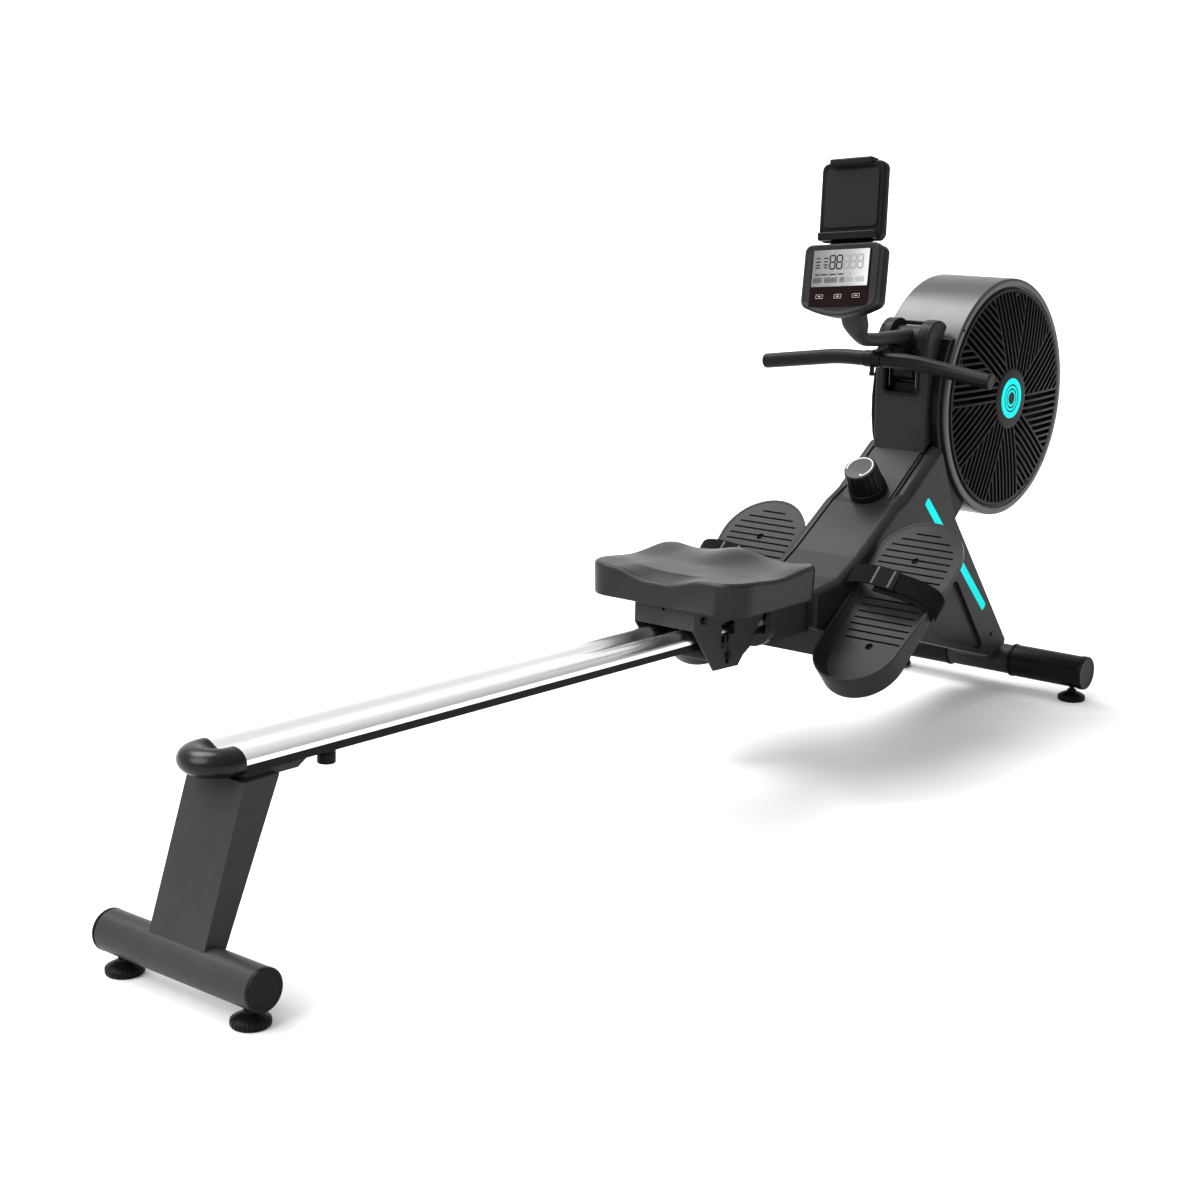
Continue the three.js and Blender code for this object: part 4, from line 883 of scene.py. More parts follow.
def shells():
    """The two side shells, their upper edges rolled over, each with a recess, a screw hole and a stripe."""
    count = len(SHELL)
    rolled_edges = {6, 7, 8, 9, 10}
    radii = [10, 30, 40, 8, 8, 14, 6, 34, 34, 30, 40, 6]
    roll, small, arc = 15.0, 2.0, 8
    for side, sign in SIDES.items():
        rings = []
        stages = [(COVER_HALF + 0.3, 0.0, 0.0), (62, 0.0, 0.0)]
        for k in range(arc + 1):
            angle = math.pi / 2 * k / arc
            y = BODY_HALF - roll + roll * math.sin(angle)
            stages.append((y, roll * (1 - math.cos(angle)), small * smooth(k / arc * 1.4 - 0.4)))
        for y, top_inset, other_inset in stages:
            distances = [top_inset if i in rolled_edges else other_inset for i in range(count)]
            outline = rounded(moved_in(SHELL, distances), radii, 5)
            rings.append([(x, sign * y, z) for x, z in outline])
        recess = prism(rounded(RECESS, 9, 5), *side_span(sign, 73, 90), "xz")
        screw = rod(4.2, 74, 84, (1992, 0, 139), "y", 32)
        screw = ([(x, sign * y, z) for x, y, z in screw[0]], screw[1])
        stand_in(f"side_shell_{side}", loft(rings), MACHINE, PLASTIC, "frame", cut=[recess, screw],
            edge_after=0.7, angle=38)
        mark(side, sign)


def mark(side, sign):
    """Plain cyan bars along the leg, each a thin raised print."""
    start, direction, half = Vector((1716, 447)), Vector((247, -253)).normalized(), 8.5
    across = Vector((-direction.y, direction.x)) * half
    forms = []
    for begin, length in ((0, 118), (130, 14), (156, 14), (196, 150)):
        a = start + direction * begin
        b = a + direction * length
        corners = [a - across, b - across, b + across, a + across]
        outline = rounded([tuple(c) for c in corners], 5.5, 6)
        forms.append(prism(outline, *side_span(sign, BODY_HALF - 0.1, BODY_HALF + 0.25), "xz"))
    make(f"leg_stripe_{side}", merged(*forms), MACHINE, CYAN, "frame")


def deck():
    """The sloping top cover with its raised panel, and the frame inside the shells."""
    upper = [(1357, 332.5), (1428, 338.5), (1493, 371.5), (1609, 445.5), (1650, 463.5), (1757, 538)]
    path = arc_path([(x, 0, z) for x, z in upper], 42, 8)
    edge, thick = 2.2, 3
    right_side = [(COVER_HALF, thick), (COVER_HALF, edge), (COVER_HALF - 0.8, 0.6), (COVER_HALF - edge, 0)]
    section = [(-y, drop) for y, drop in right_side] + right_side[::-1]
    rings = [[(p.x, y, p.z - drop) for y, drop in section] for p in path]
    slope = math.tan(math.radians(DECK_PITCH))

    def along(x):
        """Height of the panel's face."""
        return KNOB["z"] - 0.4 + (x - KNOB["x"]) * slope

    low, high = 1618, COLUMN["front"] - 0.5
    face = rounded([(low, -50), (high, -50), (high, 50), (low, 50)], [15, 0, 0, 15], 8)
    panel = loft([[(x, y, along(x) - drop) for x, y in face] for drop in (9, 1.6)]
        + [[(x + (1.0 if x < KNOB["x"] else 0), y * 0.985, along(x) - 0.2) for x, y in face]])
    rim = rounded([(low - 4, -54), (high, -54), (high, 54), (low - 4, 54)], [19, 0, 0, 19], 8)
    step = loft([[(x, y, along(x) - drop) for x, y in rim] for drop in (12, 4.4)])
    form = merged(loft(rings), panel, step)
    stand_in("top_cover", form, MACHINE, PLASTIC, "frame", angle=40)
    softened("leg_cover", PLASTIC, "frame", 0.8)
    softened("main_frame", PAINT, "frame", 1.0)
    softened("pedal_frame", PAINT, "frame", 1.0)
    above = prism([(1700, 742), (2200, 742), (2200, 900), (1700, 900)], -100, 100, "xz")
    softened("drum_shroud", BLACK, "frame", 2.0, cut=[above])


def column():
    """The upright cover and its two ears, the strap's window and roller, and the bridge."""
    front, half, ear_r, ear_z = COLUMN["front"], COLUMN["half"], COLUMN["ear_r"], COLUMN["ear_z"]
    centre = front + ear_r
    profile = [(front, 528.6), (1757, 543.6), (1830, 560), (1830, 700), (front + 2 * ear_r, ear_z)]
    profile += circle(centre, ear_z, ear_r, 64)[1:32] + [(front, ear_z)]
    window_z, window_half, window_rise = 681, 34, 39
    window = prism(rectangle(0, window_z, window_half, window_rise, 8), front - 8, front + 12, "yz")
    gap = prism(rectangle(0, 780, COLUMN["ear_inner"], 56, 5), front - 8, 1850, "yz")
    barrel_room = rod(25, -31, 31, (ARM["pivot_x"], 0, ARM["pivot_z"]), "y", 72)
    inside = prism([(front + 4, 540), (1795, 540), (1795, 716), (front + 4, 716)], -half + 4, half - 4,
        "xz")
    drum = rod(247.8, -90, 90, (FAN_X, 0, FAN_Z), "y", 128)
    cuts = [inside, window, gap, barrel_room, drum]
    for sign in SIDES.values():
        seam = [(38.4, 45.4), (41.5, 45.4), (41.5, 46.4), (38.4, 46.4)]
        cuts.append(lathe([(r, sign * t) for r, t in seam], (centre, 0, ear_z), "y", 96, closed=True))
    for x, z, r in ((GUIDE_X, GUIDE_Z, 4.3), (ARM["pivot_x"], ARM["pivot_z"], 6.3)):
        cuts.append(rod(r, -52, 52, (x, 0, z), "y", 32))
    stand_in("column_cover", prism(profile, -half, half, "xz"), MACHINE, PLASTIC, "frame", edge=4.5,
        cut=cuts, edge_after=1.4, angle=38, segments=4)
    bridge_x, bridge_top, reach = ARM["pivot_x"] + 25.5, ear_z + 33, COLUMN["ear_inner"] - 0.2
    make("column_bridge", prism([(bridge_x, 717), (bridge_x + 4, 717), (bridge_x + 4, bridge_top),
            (bridge_x - 5, bridge_top), (bridge_x - 5, bridge_top - 5), (bridge_x, bridge_top - 6)],
            -reach, reach, "xz"), MACHINE, PLASTIC, "frame", edge_after=1.0, cut=[drum])
    frame_outer = rectangle(0, window_z, window_half + 6, window_rise + 6, 12, 8)
    frame_inner = rectangle(0, window_z, window_half, window_rise, 8, 8)
    surround = band(frame_outer, frame_inner, front - 2.2, front + 1, "yz")
    make("strap_window_frame", surround, MACHINE, BLACK, "frame", edge_after=0.9)

    roller = [(4, -54.5), (4, -23), (12.3, -23), (12.3, -20.4), (14.2, -20), (GUIDE_R, -19), (13.4, -12),
        (13.0, 0), (13.4, 12), (GUIDE_R, 19), (14.2, 20), (12.3, 20.4), (12.3, 23), (4, 23), (4, 54.5)]
    stand_in("strap_guide_roller", lathe([(0, -54.8), *roller, (0, 54.8)], (GUIDE_X, 0, GUIDE_Z), "y", 64),
        MACHINE, BLACK, "guide_roller")
    plate = rectangle(1754, 676, 11, 27, 4)
    bracket = [prism(plate, *side_span(sign, 28, 30), "xz") for sign in SIDES.values()]
    make("strap_guide_bracket", merged(*bracket), MACHINE, GUN_METAL, "frame", edge_after=0.4,
        cut=[rod(4.3, -40, 40, (GUIDE_X, 0, GUIDE_Z), "y", 32)])


# ---- fan ----
DOME_FOOT, DOME_RISE = 81.0, 9.6


def dome(r):
    """Distance of the grille's face from the fan's middle plane, at radius r."""
    t = min(1.0, max(0.0, (r - HUB_R) / (SLOT_R - HUB_R)))
    return DOME_FOOT + DOME_RISE * (1 - t * t)


def grille_form():
    """The right-hand grille about the fan's axis: rim, hub, and nine bars in each of ten sectors."""
    def at(along, across, angle, proud):
        x = along * math.cos(angle) + across * math.sin(angle)
        z = along * math.sin(angle) - across * math.cos(angle)
        return (x, -(dome(math.hypot(along, across)) - proud), z)

    sectors, bars, w, bevel, depth = 10, 9, 2.7, 0.9, 5.0
    bar = [(-w, depth), (-w, bevel), (bevel - w, 0), (w - bevel, 0), (w, bevel), (w, depth)]
    sector_angle = 2 * math.pi / sectors
    pitch = SLOT_R * math.sin(sector_angle) / (bars + 0.35)
    forms = []
    for i in range(sectors):
        angle = i * sector_angle
        for k in range(bars + 1):
            across = k * pitch
            start = max(math.sqrt(max(0, (HUB_R - 2) ** 2 - across ** 2)), across / math.tan(sector_angle))
            end = math.sqrt((SLOT_R + 3) ** 2 - across ** 2)
            if end - start < 5:
                continue
            rings = []
            steps = max(2, int((end - start) / 16))
            for j in range(steps + 1):
                a = start + (end - start) * j / steps
                rings.append([at(a, across + side, angle, proud) for side, proud in bar])
            forms.append(loft(rings))
    rim = [(SLOT_R - 0.5, -DOME_FOOT + 5), (SLOT_R - 0.5, -DOME_FOOT + 0.6),
        (SLOT_R + 0.5, -DOME_FOOT - 0.2), (GRILLE_R - 2, -DOME_FOOT - 0.2),
        (GRILLE_R - 0.6, -DOME_FOOT + 0.4), (GRILLE_R, -DOME_FOOT + 1.6), (GRILLE_R, -DOME_FOOT + 5)]
    hub_y = dome(HUB_R)
    hub = [(0, -hub_y + 5), (HUB_R, -hub_y + 5), (HUB_R, -hub_y + 0.4), (HUB_R - 1.4, -hub_y - 0.6),
        (HUB_R - 4, -hub_y - 1.1), (42, -hub_y - 1.9), (40.6, -hub_y - 1.8), (0, -hub_y - 2.2)]
    forms.append(lathe(rim, axis="y", count=144, closed=True))
    forms.append(lathe(hub, axis="y", count=96))
    boss_circle, first_boss = 204.5, 11.4
    for k in (2, 3, 4, 0, 1):
        a = math.radians(first_boss + 72 * k)
        boss = [(0, 5), (7, 5), (7, -0.4), (6.2, -1), (3.6, -1), (3.2, 1.5), (0, 1.5)]
        centre = (boss_circle * math.cos(a), -DOME_FOOT - 0.1, boss_circle * math.sin(a))
        forms.append(lathe(boss, centre, "y", 24))
    return merged(*forms)


def fan():
    """The drum, a grille on each side with its hub rings, and the wheels inside."""
    centre = Matrix.Translation((FAN_X, 0, FAN_Z))
    outer, half = DRUM_R, DRUM_HALF
    side = [(outer, 60), (outer, half - 4), (outer - 0.6, half - 1.8), (outer - 2.4, half - 0.3),
        (outer - 4.4, half), (outer - 6, half + 0.1), (219, half + 0.1), (217.4, half - 0.4),
        (216.4, half - 2.2), (215.2, half - 2.4), (214.4, half - 1.2), (213.6, half - 1.4),
        (213.3, half - 6), (outer - 3.4, half - 8)]
    wall = [(r, t) for r, t in side] + [(r, -t) for r, t in reversed(side)]
    screws = []
    screw_circle, screw_angles = 224.6, (140.5, 320.5)
    for degrees in screw_angles:
        a = math.radians(degrees)
        screw_x, screw_z = FAN_X + screw_circle * math.cos(a), FAN_Z + screw_circle * math.sin(a)
        for sign in SIDES.values():
            hole = [(0, sign * (half - 5)), (3.1, sign * (half - 5)), (3.1, sign * (half + 3)),
                (0, sign * (half + 3))]
            screws.append(lathe(hole, (screw_x, 0, screw_z), "y", 24))
    stand_in("fan_drum", lathe(wall, (FAN_X, 0, FAN_Z), "y", 192, closed=True), MACHINE, DRUM, "frame",
        cut=screws, angle=40)
    grille = grille_form()
    hub_face = dome(HUB_R) + 2.2
    for side_name, sign in SIDES.items():
        about = centre @ (Matrix.Rotation(math.pi, 4, "Z") if sign > 0 else Matrix.Identity(4))
        stand_in(f"fan_grille_{side_name}", shifted(grille, about), MACHINE, BLACK, "frame", angle=30)
        rings = []
        for outer_r, inner_r in ((39, 27.5), (24.5, 19.5), (16.5, 12)):
            rings.append(lathe([(inner_r, -hub_face + 0.6), (outer_r, -hub_face + 0.6),
                    (outer_r, -hub_face - 0.1), (inner_r, -hub_face - 0.25)], axis="y", count=96,
                    closed=True))
        make(f"hub_rings_{side_name}", shifted(merged(*rings), about), MACHINE, CYAN, "frame")
    softened("fan_wheel", BLACK, "rotor", 0.4)
    softened("flywheel", STEEL, "rotor", 0.6)
    softened("strap_spool", BLACK, "spool", 0.6)
    softened("magnet_yoke", STEEL, "magnet_yoke", 0.6)


def knob():
    """The tension knob: a skirt, a fluted grip, a grey top and a printed arc."""
    flutes, flute_depth = 16, 1.5

    def fluted(angle, r):
        return -flute_depth * max(0.0, math.cos(flutes * angle)) ** 2 if 29 < r < 34.4 else 0

    skirt = [(0, 0), (34.6, 0), (35.8, 0.8), (36, 2.4), (35.6, 13.6), (35, 14.4), (34.3, 14.8),
        (34.2, 16.5), (33.6, 24), (32.2, 42), (31.2, 54), (30.7, 56.4), (29.8, 57.4), (28.6, 57.6),
        (0, 57.6)]
    shaft = [(0, -16), (4, -16), (4, 0.5), (0, 0.5)]
    stand_in("tension_knob", merged(lathe(skirt, count=flutes * 10, wobble=fluted),
            lathe(shaft, count=24)), DECK, BLACK, "tension_knob", angle=40)
    make("tension_knob_top", lathe([(0, 57), (29.4, 57), (30.2, 58.2), (29.8, 59.8), (28.6, 60.6),
            (25, 61), (0, 60.7)], count=72), DECK, KNOB_TOP, "tension_knob", angle=40)
    start, end, inner, outer_r, top = -2.6, 1.9, 24.4, 26.0, 61.3
    arc, steps = [], 40
    under = top - 0.8
    for k in range(steps + 1):
        a = start + (end - start) * k / steps
        near = inner - 0.8 * k / steps
        corners = (near, under), (outer_r, under), (outer_r, top), (near, top)
        arc.append([(q * math.cos(a), q * math.sin(a), z) for q, z in corners])
    spot_r = 22.2
    spot = prism(rectangle(spot_r * math.cos(start), spot_r * math.sin(start), 1.6, 1.6, 0.6), under, top,
        "xy")
    make("tension_scale", merged(loft(arc), spot), DECK, SCALE_INK, "tension_knob")


# ---- handle ----
def handle():
    """The pull handle: a bent bar, two foam grips, the clamp and the block that holds the strap."""
    x, mid_z, tip_z, bend, half = (HANDLE[key] for key in ("x", "mid_z", "tip_z", "bend_y", "half"))
    slope = (tip_z - mid_z) / (half - bend)

    def centre_line(y):
        """Height of the bar, with a smooth bend either side of the middle."""
        over = 26.0
        d = abs(y) - bend
        if d < -over:
            return mid_z
        if d > over:
            return mid_z + slope * d
        return mid_z + slope * (d + over) ** 2 / (4 * over)

    def run(y0, y1, radii, count):
        path = [(x, y0 + (y1 - y0) * k / count, centre_line(y0 + (y1 - y0) * k / count))
            for k in range(count + 1)]
        return sweep(path, lambda i: circle(0, 0, radii(i / count), 40))

    bar_r, bar_half, grip_start = 11, 236, 19.3
    stand_in("handle_bar", run(-bar_half, bar_half, lambda t: bar_r, 60), MACHINE, PAINT, "handle")

    def end_round(t, length):
        from_end = (1 - t) * length
        return HANDLE["grip_r"] - (2.2 * (1 - from_end / 2.5) ** 2 if from_end < 2.5 else 0)

    for side, sign in SIDES.items():
        length = half - grip_start
        ys = [grip_start + length * k / 46 for k in range(47)] + [half - 1.6, half - 0.8, half - 0.3, half]
        ys = sorted(set(ys))
        path = [(x, sign * y, centre_line(y)) for y in ys]
        grip = sweep(path, lambda i: circle(0, 0, end_round((ys[i] - grip_start) / length, length), 40))
        bore = run(sign * 10, sign * (bar_half + 1), lambda t: bar_r + 0.2, 40)
        stand_in(f"handle_grip_{side}", grip, MACHINE, FOAM, "handle", cut=[bore], angle=40)
    clamp = lathe([(11.4, -19), (14.9, -19), (15.6, -18.2), (15.6, -1.2), (15, -0.4), (15, 0.4),
            (15.6, 1.2), (15.6, 18.2), (14.9, 19), (11.4, 19)], (x, 0, mid_z), "y", 64, closed=True)
    arm = prism(rectangle(0, 720.5, 14, 7, 3), x + 11, x + 42, "yz")
    block = prism(rectangle(0, 720, 17.5, 7.5, 3.5), x + 38, STRAP_END[0] - 1, "yz")
    bolt = lathe([(0, -30), (4.6, -30), (5, -29), (5, -24), (4.2, -23), (4.2, -12), (0, -12)],
        (x - 8, 0, mid_z), count=32)
    screws = [lathe([(0, 5), (3.6, 5), (3.6, 8.4), (2.6, 9.2), (0, 9.2)], (sx, y, 720), count=24)
        for sx in (x + 24, x + 60) for y in (-8, 8)]
    slot = prism([(x + 60, 719.6), (1745, 719.6), (1745, 722.6), (x + 60, 722.6)], -13.4, 13.4, "xz")
    stand_in("handle_clamp", clamp, MACHINE, BLACK, "handle")
    make("handle_clamp_arm", merged(arm, bolt, *screws), MACHINE, BLACK, "handle", edge_after=0.6)
    make("handle_strap_block", block, MACHINE, BLACK, "handle", edge_after=0.6, cut=[slot])
    pull_strap()


def pull_strap():
    """The strap from the spool to the handle; its open length stretches as the handle is pulled."""
    half, thick = 12.5, 1.6
    roller_top = GUIDE_Z + GUIDE_R + 0.9

    def strip(points):
        rings = []
        for x, z in points:
            rings.append([(x, -half, z - thick / 2), (x, half, z - thick / 2), (x, half, z + thick / 2),
                    (x, -half, z + thick / 2)])
        return loft(rings)

    spool_top = FAN_Z + 44 + 1.1
    inner = [(GUIDE_X, roller_top), (FAN_X + 4, spool_top)]
    make("pull_strap_inner", strip(inner), MACHINE, WEBBING, "frame", "pull_strap")
    count = 32
    points = []
    for k in range(count + 1):
        t = k / count
        points.append((GUIDE_X + (STRAP_END[0] - GUIDE_X) * t,
                roller_top + (STRAP_END[1] - roller_top) * smooth(t)))
    free = make("pull_strap_free", strip(points), MACHINE, WEBBING, None)
    start = MACHINE @ Vector((GUIDE_X, 0, roller_top))
    end = MACHINE @ Vector((STRAP_END[0], 0, roller_top))
    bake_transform(free, "frame", "handle", start=tuple(start), end=tuple(end))


# ---- monitor ----
def console_outline(inset, count_curve=18):
    """The console's face: a rounded top and a lower edge that droops in the middle."""
    w, top = CONSOLE["half"] - inset, CONSOLE["top"] - inset
    r = 14 - inset / 2
    points = []
    for k in range(9):
        a = math.pi / 2 * k / 8
        points.append((w - r + r * math.sin(math.pi / 2 - a), top - r + r * math.cos(math.pi / 2 - a)))
    for k in range(9):
        a = math.pi / 2 * k / 8
        points.append((-w + r - r * math.sin(a), top - r + r * math.cos(a)))
    lower = [(-w, -56), (-w + 1, -68 + inset), (-w + 16, -72 + inset)]
    bottom = [(-w + 16, -72 + inset), (0, -98 + inset), (w - 16, -72 + inset)]
    right = [(w - 16, -72 + inset), (w - 1, -68 + inset), (w, -56)]
    for a, b, c in (lower, bottom, right):
        for k in range(count_curve):
            t = k / count_curve
            points.append(((1 - t) ** 2 * a[0] + 2 * t * (1 - t) * b[0] + t * t * c[0],
                    (1 - t) ** 2 * a[1] + 2 * t * (1 - t) * b[1] + t * t * c[1]))
    points.append((w, -56))
    return points


def shell_between(stages):
    """A loft along X through console outlines: stages are (x, inset)."""
    return loft([[(x, y, z) for y, z in console_outline(inset)] for x, inset in stages])


SEGMENTS = {"a": (0.12, 1, 0.88, 1), "b": (1, 0.93, 1, 0.57), "c": (1, 0.43, 1, 0.07),
    "d": (0.12, 0, 0.88, 0), "e": (0, 0.43, 0, 0.07), "f": (0, 0.93, 0, 0.57), "g": (0.12, 0.5, 0.88, 0.5)}


def digit(left, low, width, height, bar, x):
    """A seven-segment figure 8 on the display's face; left is its +Y edge."""
    forms = []
    for u0, v0, u1, v1 in SEGMENTS.values():
        y0, y1 = left - width * u0, left - width * u1
        z0, z1 = low + height * v0, low + height * v1
        half = bar / 2
        if abs(v0 - v1) < 1e-6:
            outline = [(y0, z0 - half), (y1, z0 - half), (y1 - half, z0), (y1, z0 + half), (y0, z0 + half),
                (y0 + half, z0)]
        else:
            outline = [(y0 - half, z1), (y0, z1 - half), (y0 + half, z1), (y0 + half, z0), (y0, z0 + half),
                (y0 - half, z0)]
        forms.append(prism(outline, x - 0.15, x + 0.05, "yz"))
    return merged(*forms)


def monitor():
    """The console: two shells, hinge lugs, lens, display with its figures, and three keys."""
    hinge_x, hinge_z = HOLDER_HINGE
    front = shell_between([(3.2, 9.5), (1.2, 6.5), (0, 3.8), (0.2, 2.6), (1.2, 1.0), (3, 0.2), (5, 0),
            (15, 0), (15.8, 0.6), (15.8, 3)])
    back = shell_between([(14, 4), (17, 3), (17, 1.4), (17.8, 0.8), (33, 0.8), (37, 1.6), (41, 4),
            (43.6, 8), (45, 13)])
    lug_r = 6.5
    lens_well = prism(rectangle(0, -16.5, 60.3, 51.8, 2.5), -6, 2.6, "yz")
    key_at, key_z = {"left": 38, "middle": 0, "right": -38}, -50
    wells = [prism(rectangle(y, key_z, 9, 5, 1.6), -6, 9, "yz") for y in key_at.values()]
    pin = rod(3.3, -50, 50, (hinge_x, 0, hinge_z), "y", 32)
    make("console_front_looks", front, UNIT, PLASTIC, "monitor", "console_housing",
        cut=[lens_well, *wells], edge_after=0.5, angle=38)
    make("console_back_looks", back, UNIT, BLACK, "monitor", angle=38)
    for side, sign in SIDES.items():
        low, high = side_span(sign, 30, 40)
        profile = [(0, low), (6, low), (lug_r, low + 0.5), (lug_r, high - 0.5), (6, high), (0, high)]
        lug = lathe(profile, (hinge_x, 0, hinge_z), "y", 40)
        web = prism(rectangle(hinge_x, (hinge_z + 39) / 2, lug_r, (hinge_z - 41) / 2), low, high, "xz")
        make(f"holder_lug_{side}", lug, UNIT, BLACK, "monitor", cut=[pin], angle=38)
        make(f"holder_lug_web_{side}", web, UNIT, BLACK, "monitor", cut=[pin], angle=38)

    lens = prism(rectangle(0, -16.5, 60, 51.5, 2.3), 0.9, 2.3, "yz")
    stand_in("console_lens", lens, UNIT, STRIP, "monitor", edge_after=0.25, cut=wells)
    make("console_display", prism(rectangle(0, 1, 58, 33, 1), 0.55, 1.2, "yz"), UNIT, DISPLAY, "monitor")
    face = 0.5

    def cell(y, z, half_y, half_z):
        """A small printed bar on the display."""
        return prism(rectangle(y, z, half_y, half_z), face - 0.1, face + 0.05, "yz")

    digit_left, digit_pitch, digit_count = 22.5, 14.4, 5
    # Figures towards the display's -Y side, where its painted reflection is brightest, take the paler ink of
    # painted glare; the rest take the dark ink.
    dark, in_glare = [], []
    for k in range(digit_count):
        figure = digit(digit_left - k * digit_pitch, -0.5, 10.6, 24, 2.6, face)
        (dark if k < 2 else in_glare).append(figure)
    dark += [cell(8.9, z, 0.9, 1.0) for z in (7, 17)]
    for row, z in enumerate((19.2, 12.8, 7.0, 2.2)):
        dark.append(cell(47, z, 4.2 + row % 2, 1.1))
        dark.append(cell(31, z, 3.6 + (row + 1) % 2, 1.1))
    for k, (y, half_y) in enumerate(((47, 4.5), (32, 6), (14.5, 6), (-2, 5.5), (-20, 3.5))):
        (dark if k < 4 else in_glare).append(cell(y, -10.4, half_y, 1.2))
    for y in (39.5, 22.5, 6.5, -9.5):
        (dark if y > 0 else in_glare).append(cell(y, -10.4, 0.3, 3.4))
    small_count, small_left, small_pitch, word, glare_from = 23, 54.0, 4.6, 7, -8
    for k in range(small_count):
        left = small_left - k * small_pitch
        if k % word != 4:
            (dark if left > glare_from else in_glare).append(digit(left, -24.6, 3.0, 8.2, 0.9, face))
    make("display_figures", merged(*dark), UNIT, INK, "monitor")
    make("display_figures_in_painted_glare", merged(*in_glare), UNIT, INK_IN_PAINTED_GLARE, "monitor")
    for at, y in key_at.items():
        key = prism(rectangle(y, key_z, 8.6, 4.6, 1.4), -0.2, 5, "yz")
        stand_in(f"button_{at}", key, UNIT, STRIP, f"button_{at}", edge_after=0.35)
        line = band(rectangle(y, key_z, 7.6, 3.7, 1.3), rectangle(y, key_z, 7.0, 3.1, 0.9), -0.32, -0.1,
            "yz")
        dash = prism(rectangle(y, key_z, 3.2, 0.6), -0.32, -0.1, "yz")
        make(f"button_{at}_print", merged(line, dash), UNIT, PRINT, f"button_{at}")
    phone_holder()
    monitor_arm()


def phone_holder():
    """The phone holder: a hinged tray in two shells, with a ledge, a pad and a sliding clip."""
    front, back, half, low, height = -9, 15, 65, 1, 142
    mid = low + height / 2
    clip_gap = prism(rectangle(0, mid + 60, 26.3, 80), front + 6.7, back - 6.7, "yz")

    def plate(stages):
        """A rounded plate through outlines drawn in by the second number at each first."""
        def outline(inset):
            return rectangle(0, mid, half - inset, height / 2 - inset, 13 - inset * 0.5, 8)

        return loft([[(x, y, z) for y, z in outline(inset)] for x, inset in stages])

    tray = plate([(front + 2.2, 7.5), (front + 0.8, 5.6), (front, 3.6), (front + 0.2, 2.2),
            (front + 1.4, 0.7), (front + 3, 0.1), (front + 7.6, 0), (front + 8.4, 0.8), (front + 8.6, 3)])
    rear = plate([(front + 8, 5), (front + 9, 3.4), (front + 9.2, 1.6), (front + 10, 0.9), (back - 5, 0.9),
            (back - 2, 2.2), (back - 0.4, 4.6), (back, 8)])
    ledge = prism(rounded([(front - 12, low + 3), (front + 1, low + 2), (front + 1, low + 10),
            (front - 8, low + 10.5), (front - 8.4, low + 17), (front - 11, low + 17),
            (front - 12.3, low + 15)], 1.2, 3), -half + 6, half - 6, "xz")
    neck = [prism(rectangle(0, 4, 5, 5), -24, 24, "xz"),
        lathe([(0, -29.7), (5.6, -29.7), (6, -29.2), (6, 29.2), (5.6, 29.7), (0, 29.7)], axis="y",
            count=40), rod(3, -40, 40, axis="y", count=32)]
    lug_rooms = []
    room_r = 7.3
    for sign in SIDES.values():
        low_y, high_y = side_span(sign, 29.6, 40.4)
        room = [(0, low_y), (room_r, low_y), (room_r, high_y), (0, high_y)]
        lug_rooms.append(lathe(room, axis="y", count=32))
    stand_in("phone_holder", rear, HOLDER, BLACK, "phone_holder", cut=[clip_gap, *lug_rooms], angle=38)
    make("phone_holder_hinge", merged(*neck), HOLDER, BLACK, "phone_holder", angle=38)
    make("phone_tray_looks", tray, HOLDER, BLACK, "phone_holder", cut=[clip_gap, *lug_rooms], angle=38)
    make("phone_ledge", ledge, HOLDER, BLACK, "phone_holder", angle=38, edge_after=0.4)
    pad = loft([[(x, y, z) for y, z in rectangle(0, mid + 6, 55 - inset, 52 - inset, 9, 8)] for x,
            inset in ((front + 3, 0), (front + 0.2, 0), (front - 0.5, 0.6), (front - 0.7, 1.6),
            (front - 0.7, 6))])
    make("phone_pad", pad, HOLDER, PAD, "phone_holder", angle=38)
    top = low + height
    tab = prism(rounded([(front - 12, top - 6), (front - 8, top - 6), (front - 8, top + 0.6),
            (back - 7, top + 0.8), (back - 7, top + 5), (front - 9, top + 5.4), (front - 12, top + 3)],
            [1.5, 1.2, 1.2, 0.5, 2, 3, 2], 4), -42, 42, "xz")
    tongue = prism(rectangle(0, (mid - 10 + top + 4) / 2, 26, (top + 4 - mid + 10) / 2, 1), front + 7,
        back - 7, "yz")
    stand_in("phone_clip", merged(tab, tongue), HOLDER, BLACK, "phone_clip", edge_after=0.6)


def monitor_arm():
    """A round tube from the pivot that bends up and widens into a flat neck behind the console."""
    points = [(ARM["pivot_x"], 0, ARM["z"]), (1640, 0, ARM["z"]), (1592, 0, 752), (1568, 0, 784),
        (1561, 0, 832), (1546, 0, 870)]
    path = arc_path(points, 70, 14)

    def section(i):
        """A circle that turns into a broad, squarish oval as the tube rises."""
        widen = smooth((path[i].z - ARM["z"] - 1) / 34)
        half_w, half_t, power = ARM["r"] + 14 * widen, ARM["r"] - widen, 1 - 0.25 * widen
        return [(half_w * math.copysign(abs(c) ** power, c), half_t * math.copysign(abs(s) ** power, s))
            for c, s in circle(0, 0, 1, 48)]

    tube = sweep([tuple(p) for p in path], section)
    inner = COLUMN["ear_inner"] - 1
    barrel_r = 23.5
    barrel = lathe([(0, -inner), (barrel_r - 1, -inner), (barrel_r, -inner + 1), (barrel_r, inner - 1),
            (barrel_r - 1, inner), (0, inner)], (ARM["pivot_x"], 0, ARM["pivot_z"]), "y", 72)
    pin = rod(6, -54, 54, (ARM["pivot_x"], 0, ARM["pivot_z"]), "y", 32)
    stand_in("monitor_arm", merged(tube, barrel, pin), MACHINE, PAINT, "monitor", angle=40)


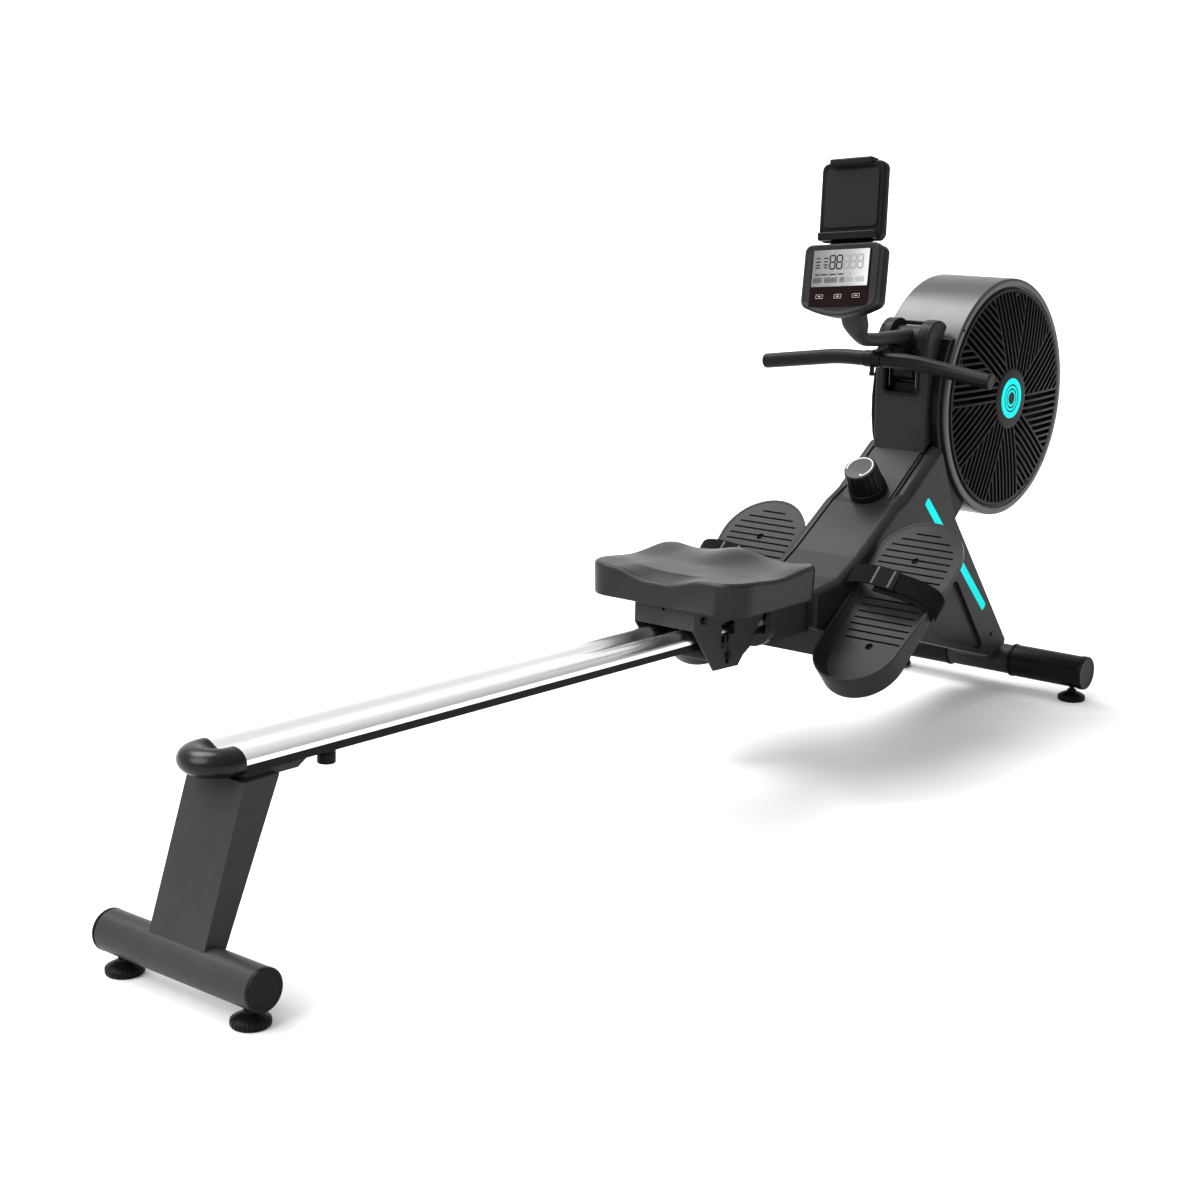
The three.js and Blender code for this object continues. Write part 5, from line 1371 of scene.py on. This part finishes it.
# ---- studio ----
def studio():
    """A plain pale floor and two broad lamps."""
    floor_material, nodes, links, shader = new_material("studio_floor")
    at = object_coordinates(nodes, links, (1, 1, 1))
    drift = noise(nodes, links, at, 0.6)
    links.new(two_tone(nodes, links, drift.outputs["Fac"], 0.75, 0.77), shader.inputs["Base Color"])
    shader.inputs["Roughness"].default_value = 0.9
    shader.inputs["Specular IOR Level"].default_value = 0.1
    shader.inputs["Emission Color"].default_value = (1, 1, 1, 1)
    shader.inputs["Emission Strength"].default_value = 0.06
    reach = 60.0
    mesh = bpy.data.meshes.new("studio_floor")
    mesh.from_pydata([(-reach, -reach, 0), (reach, -reach, 0), (reach, reach, 0), (-reach, reach, 0)], [],
        [(0, 1, 2, 3)])
    floor = bpy.data.objects.new("studio_floor", mesh)
    mesh.materials.append(floor_material)
    bpy.context.scene.collection.objects.link(floor)
    studio_sky()
    for name, source, strength, angle in (("key", (-0.70, 0.20, 0.68), 2.2, 45),
            ("top", (0.0, 0.48, 0.87), 2.0, 34)):
        light = bpy.data.lights.new(name, "SUN")
        light.energy = strength
        light.angle = math.radians(angle)
        lamp = bpy.data.objects.new(name, light)
        lamp.rotation_euler = Vector(source).to_track_quat("Z", "Y").to_euler()
        bpy.context.scene.collection.objects.link(lamp)


def studio_sky():
    """A soft sky: white behind the machine, bright overhead and towards its rear, dim on its right."""
    world = bpy.data.worlds.new("studio")
    bpy.context.scene.world = world
    world.use_nodes = True
    nodes, links = world.node_tree.nodes, world.node_tree.links
    direction = nodes.new("ShaderNodeTexCoord").outputs["Generated"]

    def along(vector, low, high, out_low, out_high):
        dot = nodes.new("ShaderNodeVectorMath")
        dot.operation = "DOT_PRODUCT"
        dot.inputs[1].default_value = vector
        links.new(direction, dot.inputs[0])
        span = nodes.new("ShaderNodeMapRange")
        for label, value in (("From Min", low), ("From Max", high), ("To Min", out_low),
                ("To Max", out_high)):
            span.inputs[label].default_value = value
        links.new(dot.outputs["Value"], span.inputs["Value"])
        return span.outputs["Result"]

    brightest = nodes.new("ShaderNodeMath")
    brightest.operation = "MAXIMUM"
    links.new(along((-0.45, 0.50, 0.74), -0.5, 1, 0.45, 0.95), brightest.inputs[0])
    links.new(along((0.773, 0.634, 0), 0.45, 0.80, 0.0, 1.05), brightest.inputs[1])
    links.new(brightest.outputs["Value"], nodes["Background"].inputs["Strength"])
    nodes["Background"].inputs["Color"].default_value = (1, 1, 1, 1)


def camera():
    """The photo's own viewpoint."""
    place, yaw, pitch, roll = (-2.72165, -2.0288,
        1.1308), math.radians(39.359), math.radians(12.997), math.radians(0.585)
    ahead = Vector((math.cos(yaw) * math.cos(pitch), math.sin(yaw) * math.cos(pitch), -math.sin(pitch)))
    right = Vector((math.sin(yaw), -math.cos(yaw), 0))
    up = right.cross(ahead)
    x = right * math.cos(roll) + up * math.sin(roll)
    y = up * math.cos(roll) - right * math.sin(roll)
    data = bpy.data.cameras.new("camera")
    data.lens = 62.06
    data.sensor_width = 36
    obj = bpy.data.objects.new("camera", data)
    obj.matrix_world = Matrix(((x.x, y.x, -ahead.x, place[0]), (x.y, y.y, -ahead.y, place[1]),
            (x.z, y.z, -ahead.z, place[2]), (0, 0, 0, 1)))
    bpy.context.scene.collection.objects.link(obj)
    bpy.context.scene.camera = obj


camera()
studio()
stabilisers()
rail()
seat()
footplates()
shells()
deck()
column()
fan()
knob()
handle()
monitor()
bpy.context.scene.view_settings.view_transform = "Standard"
bpy.context.scene.view_settings.look = "Medium High Contrast"
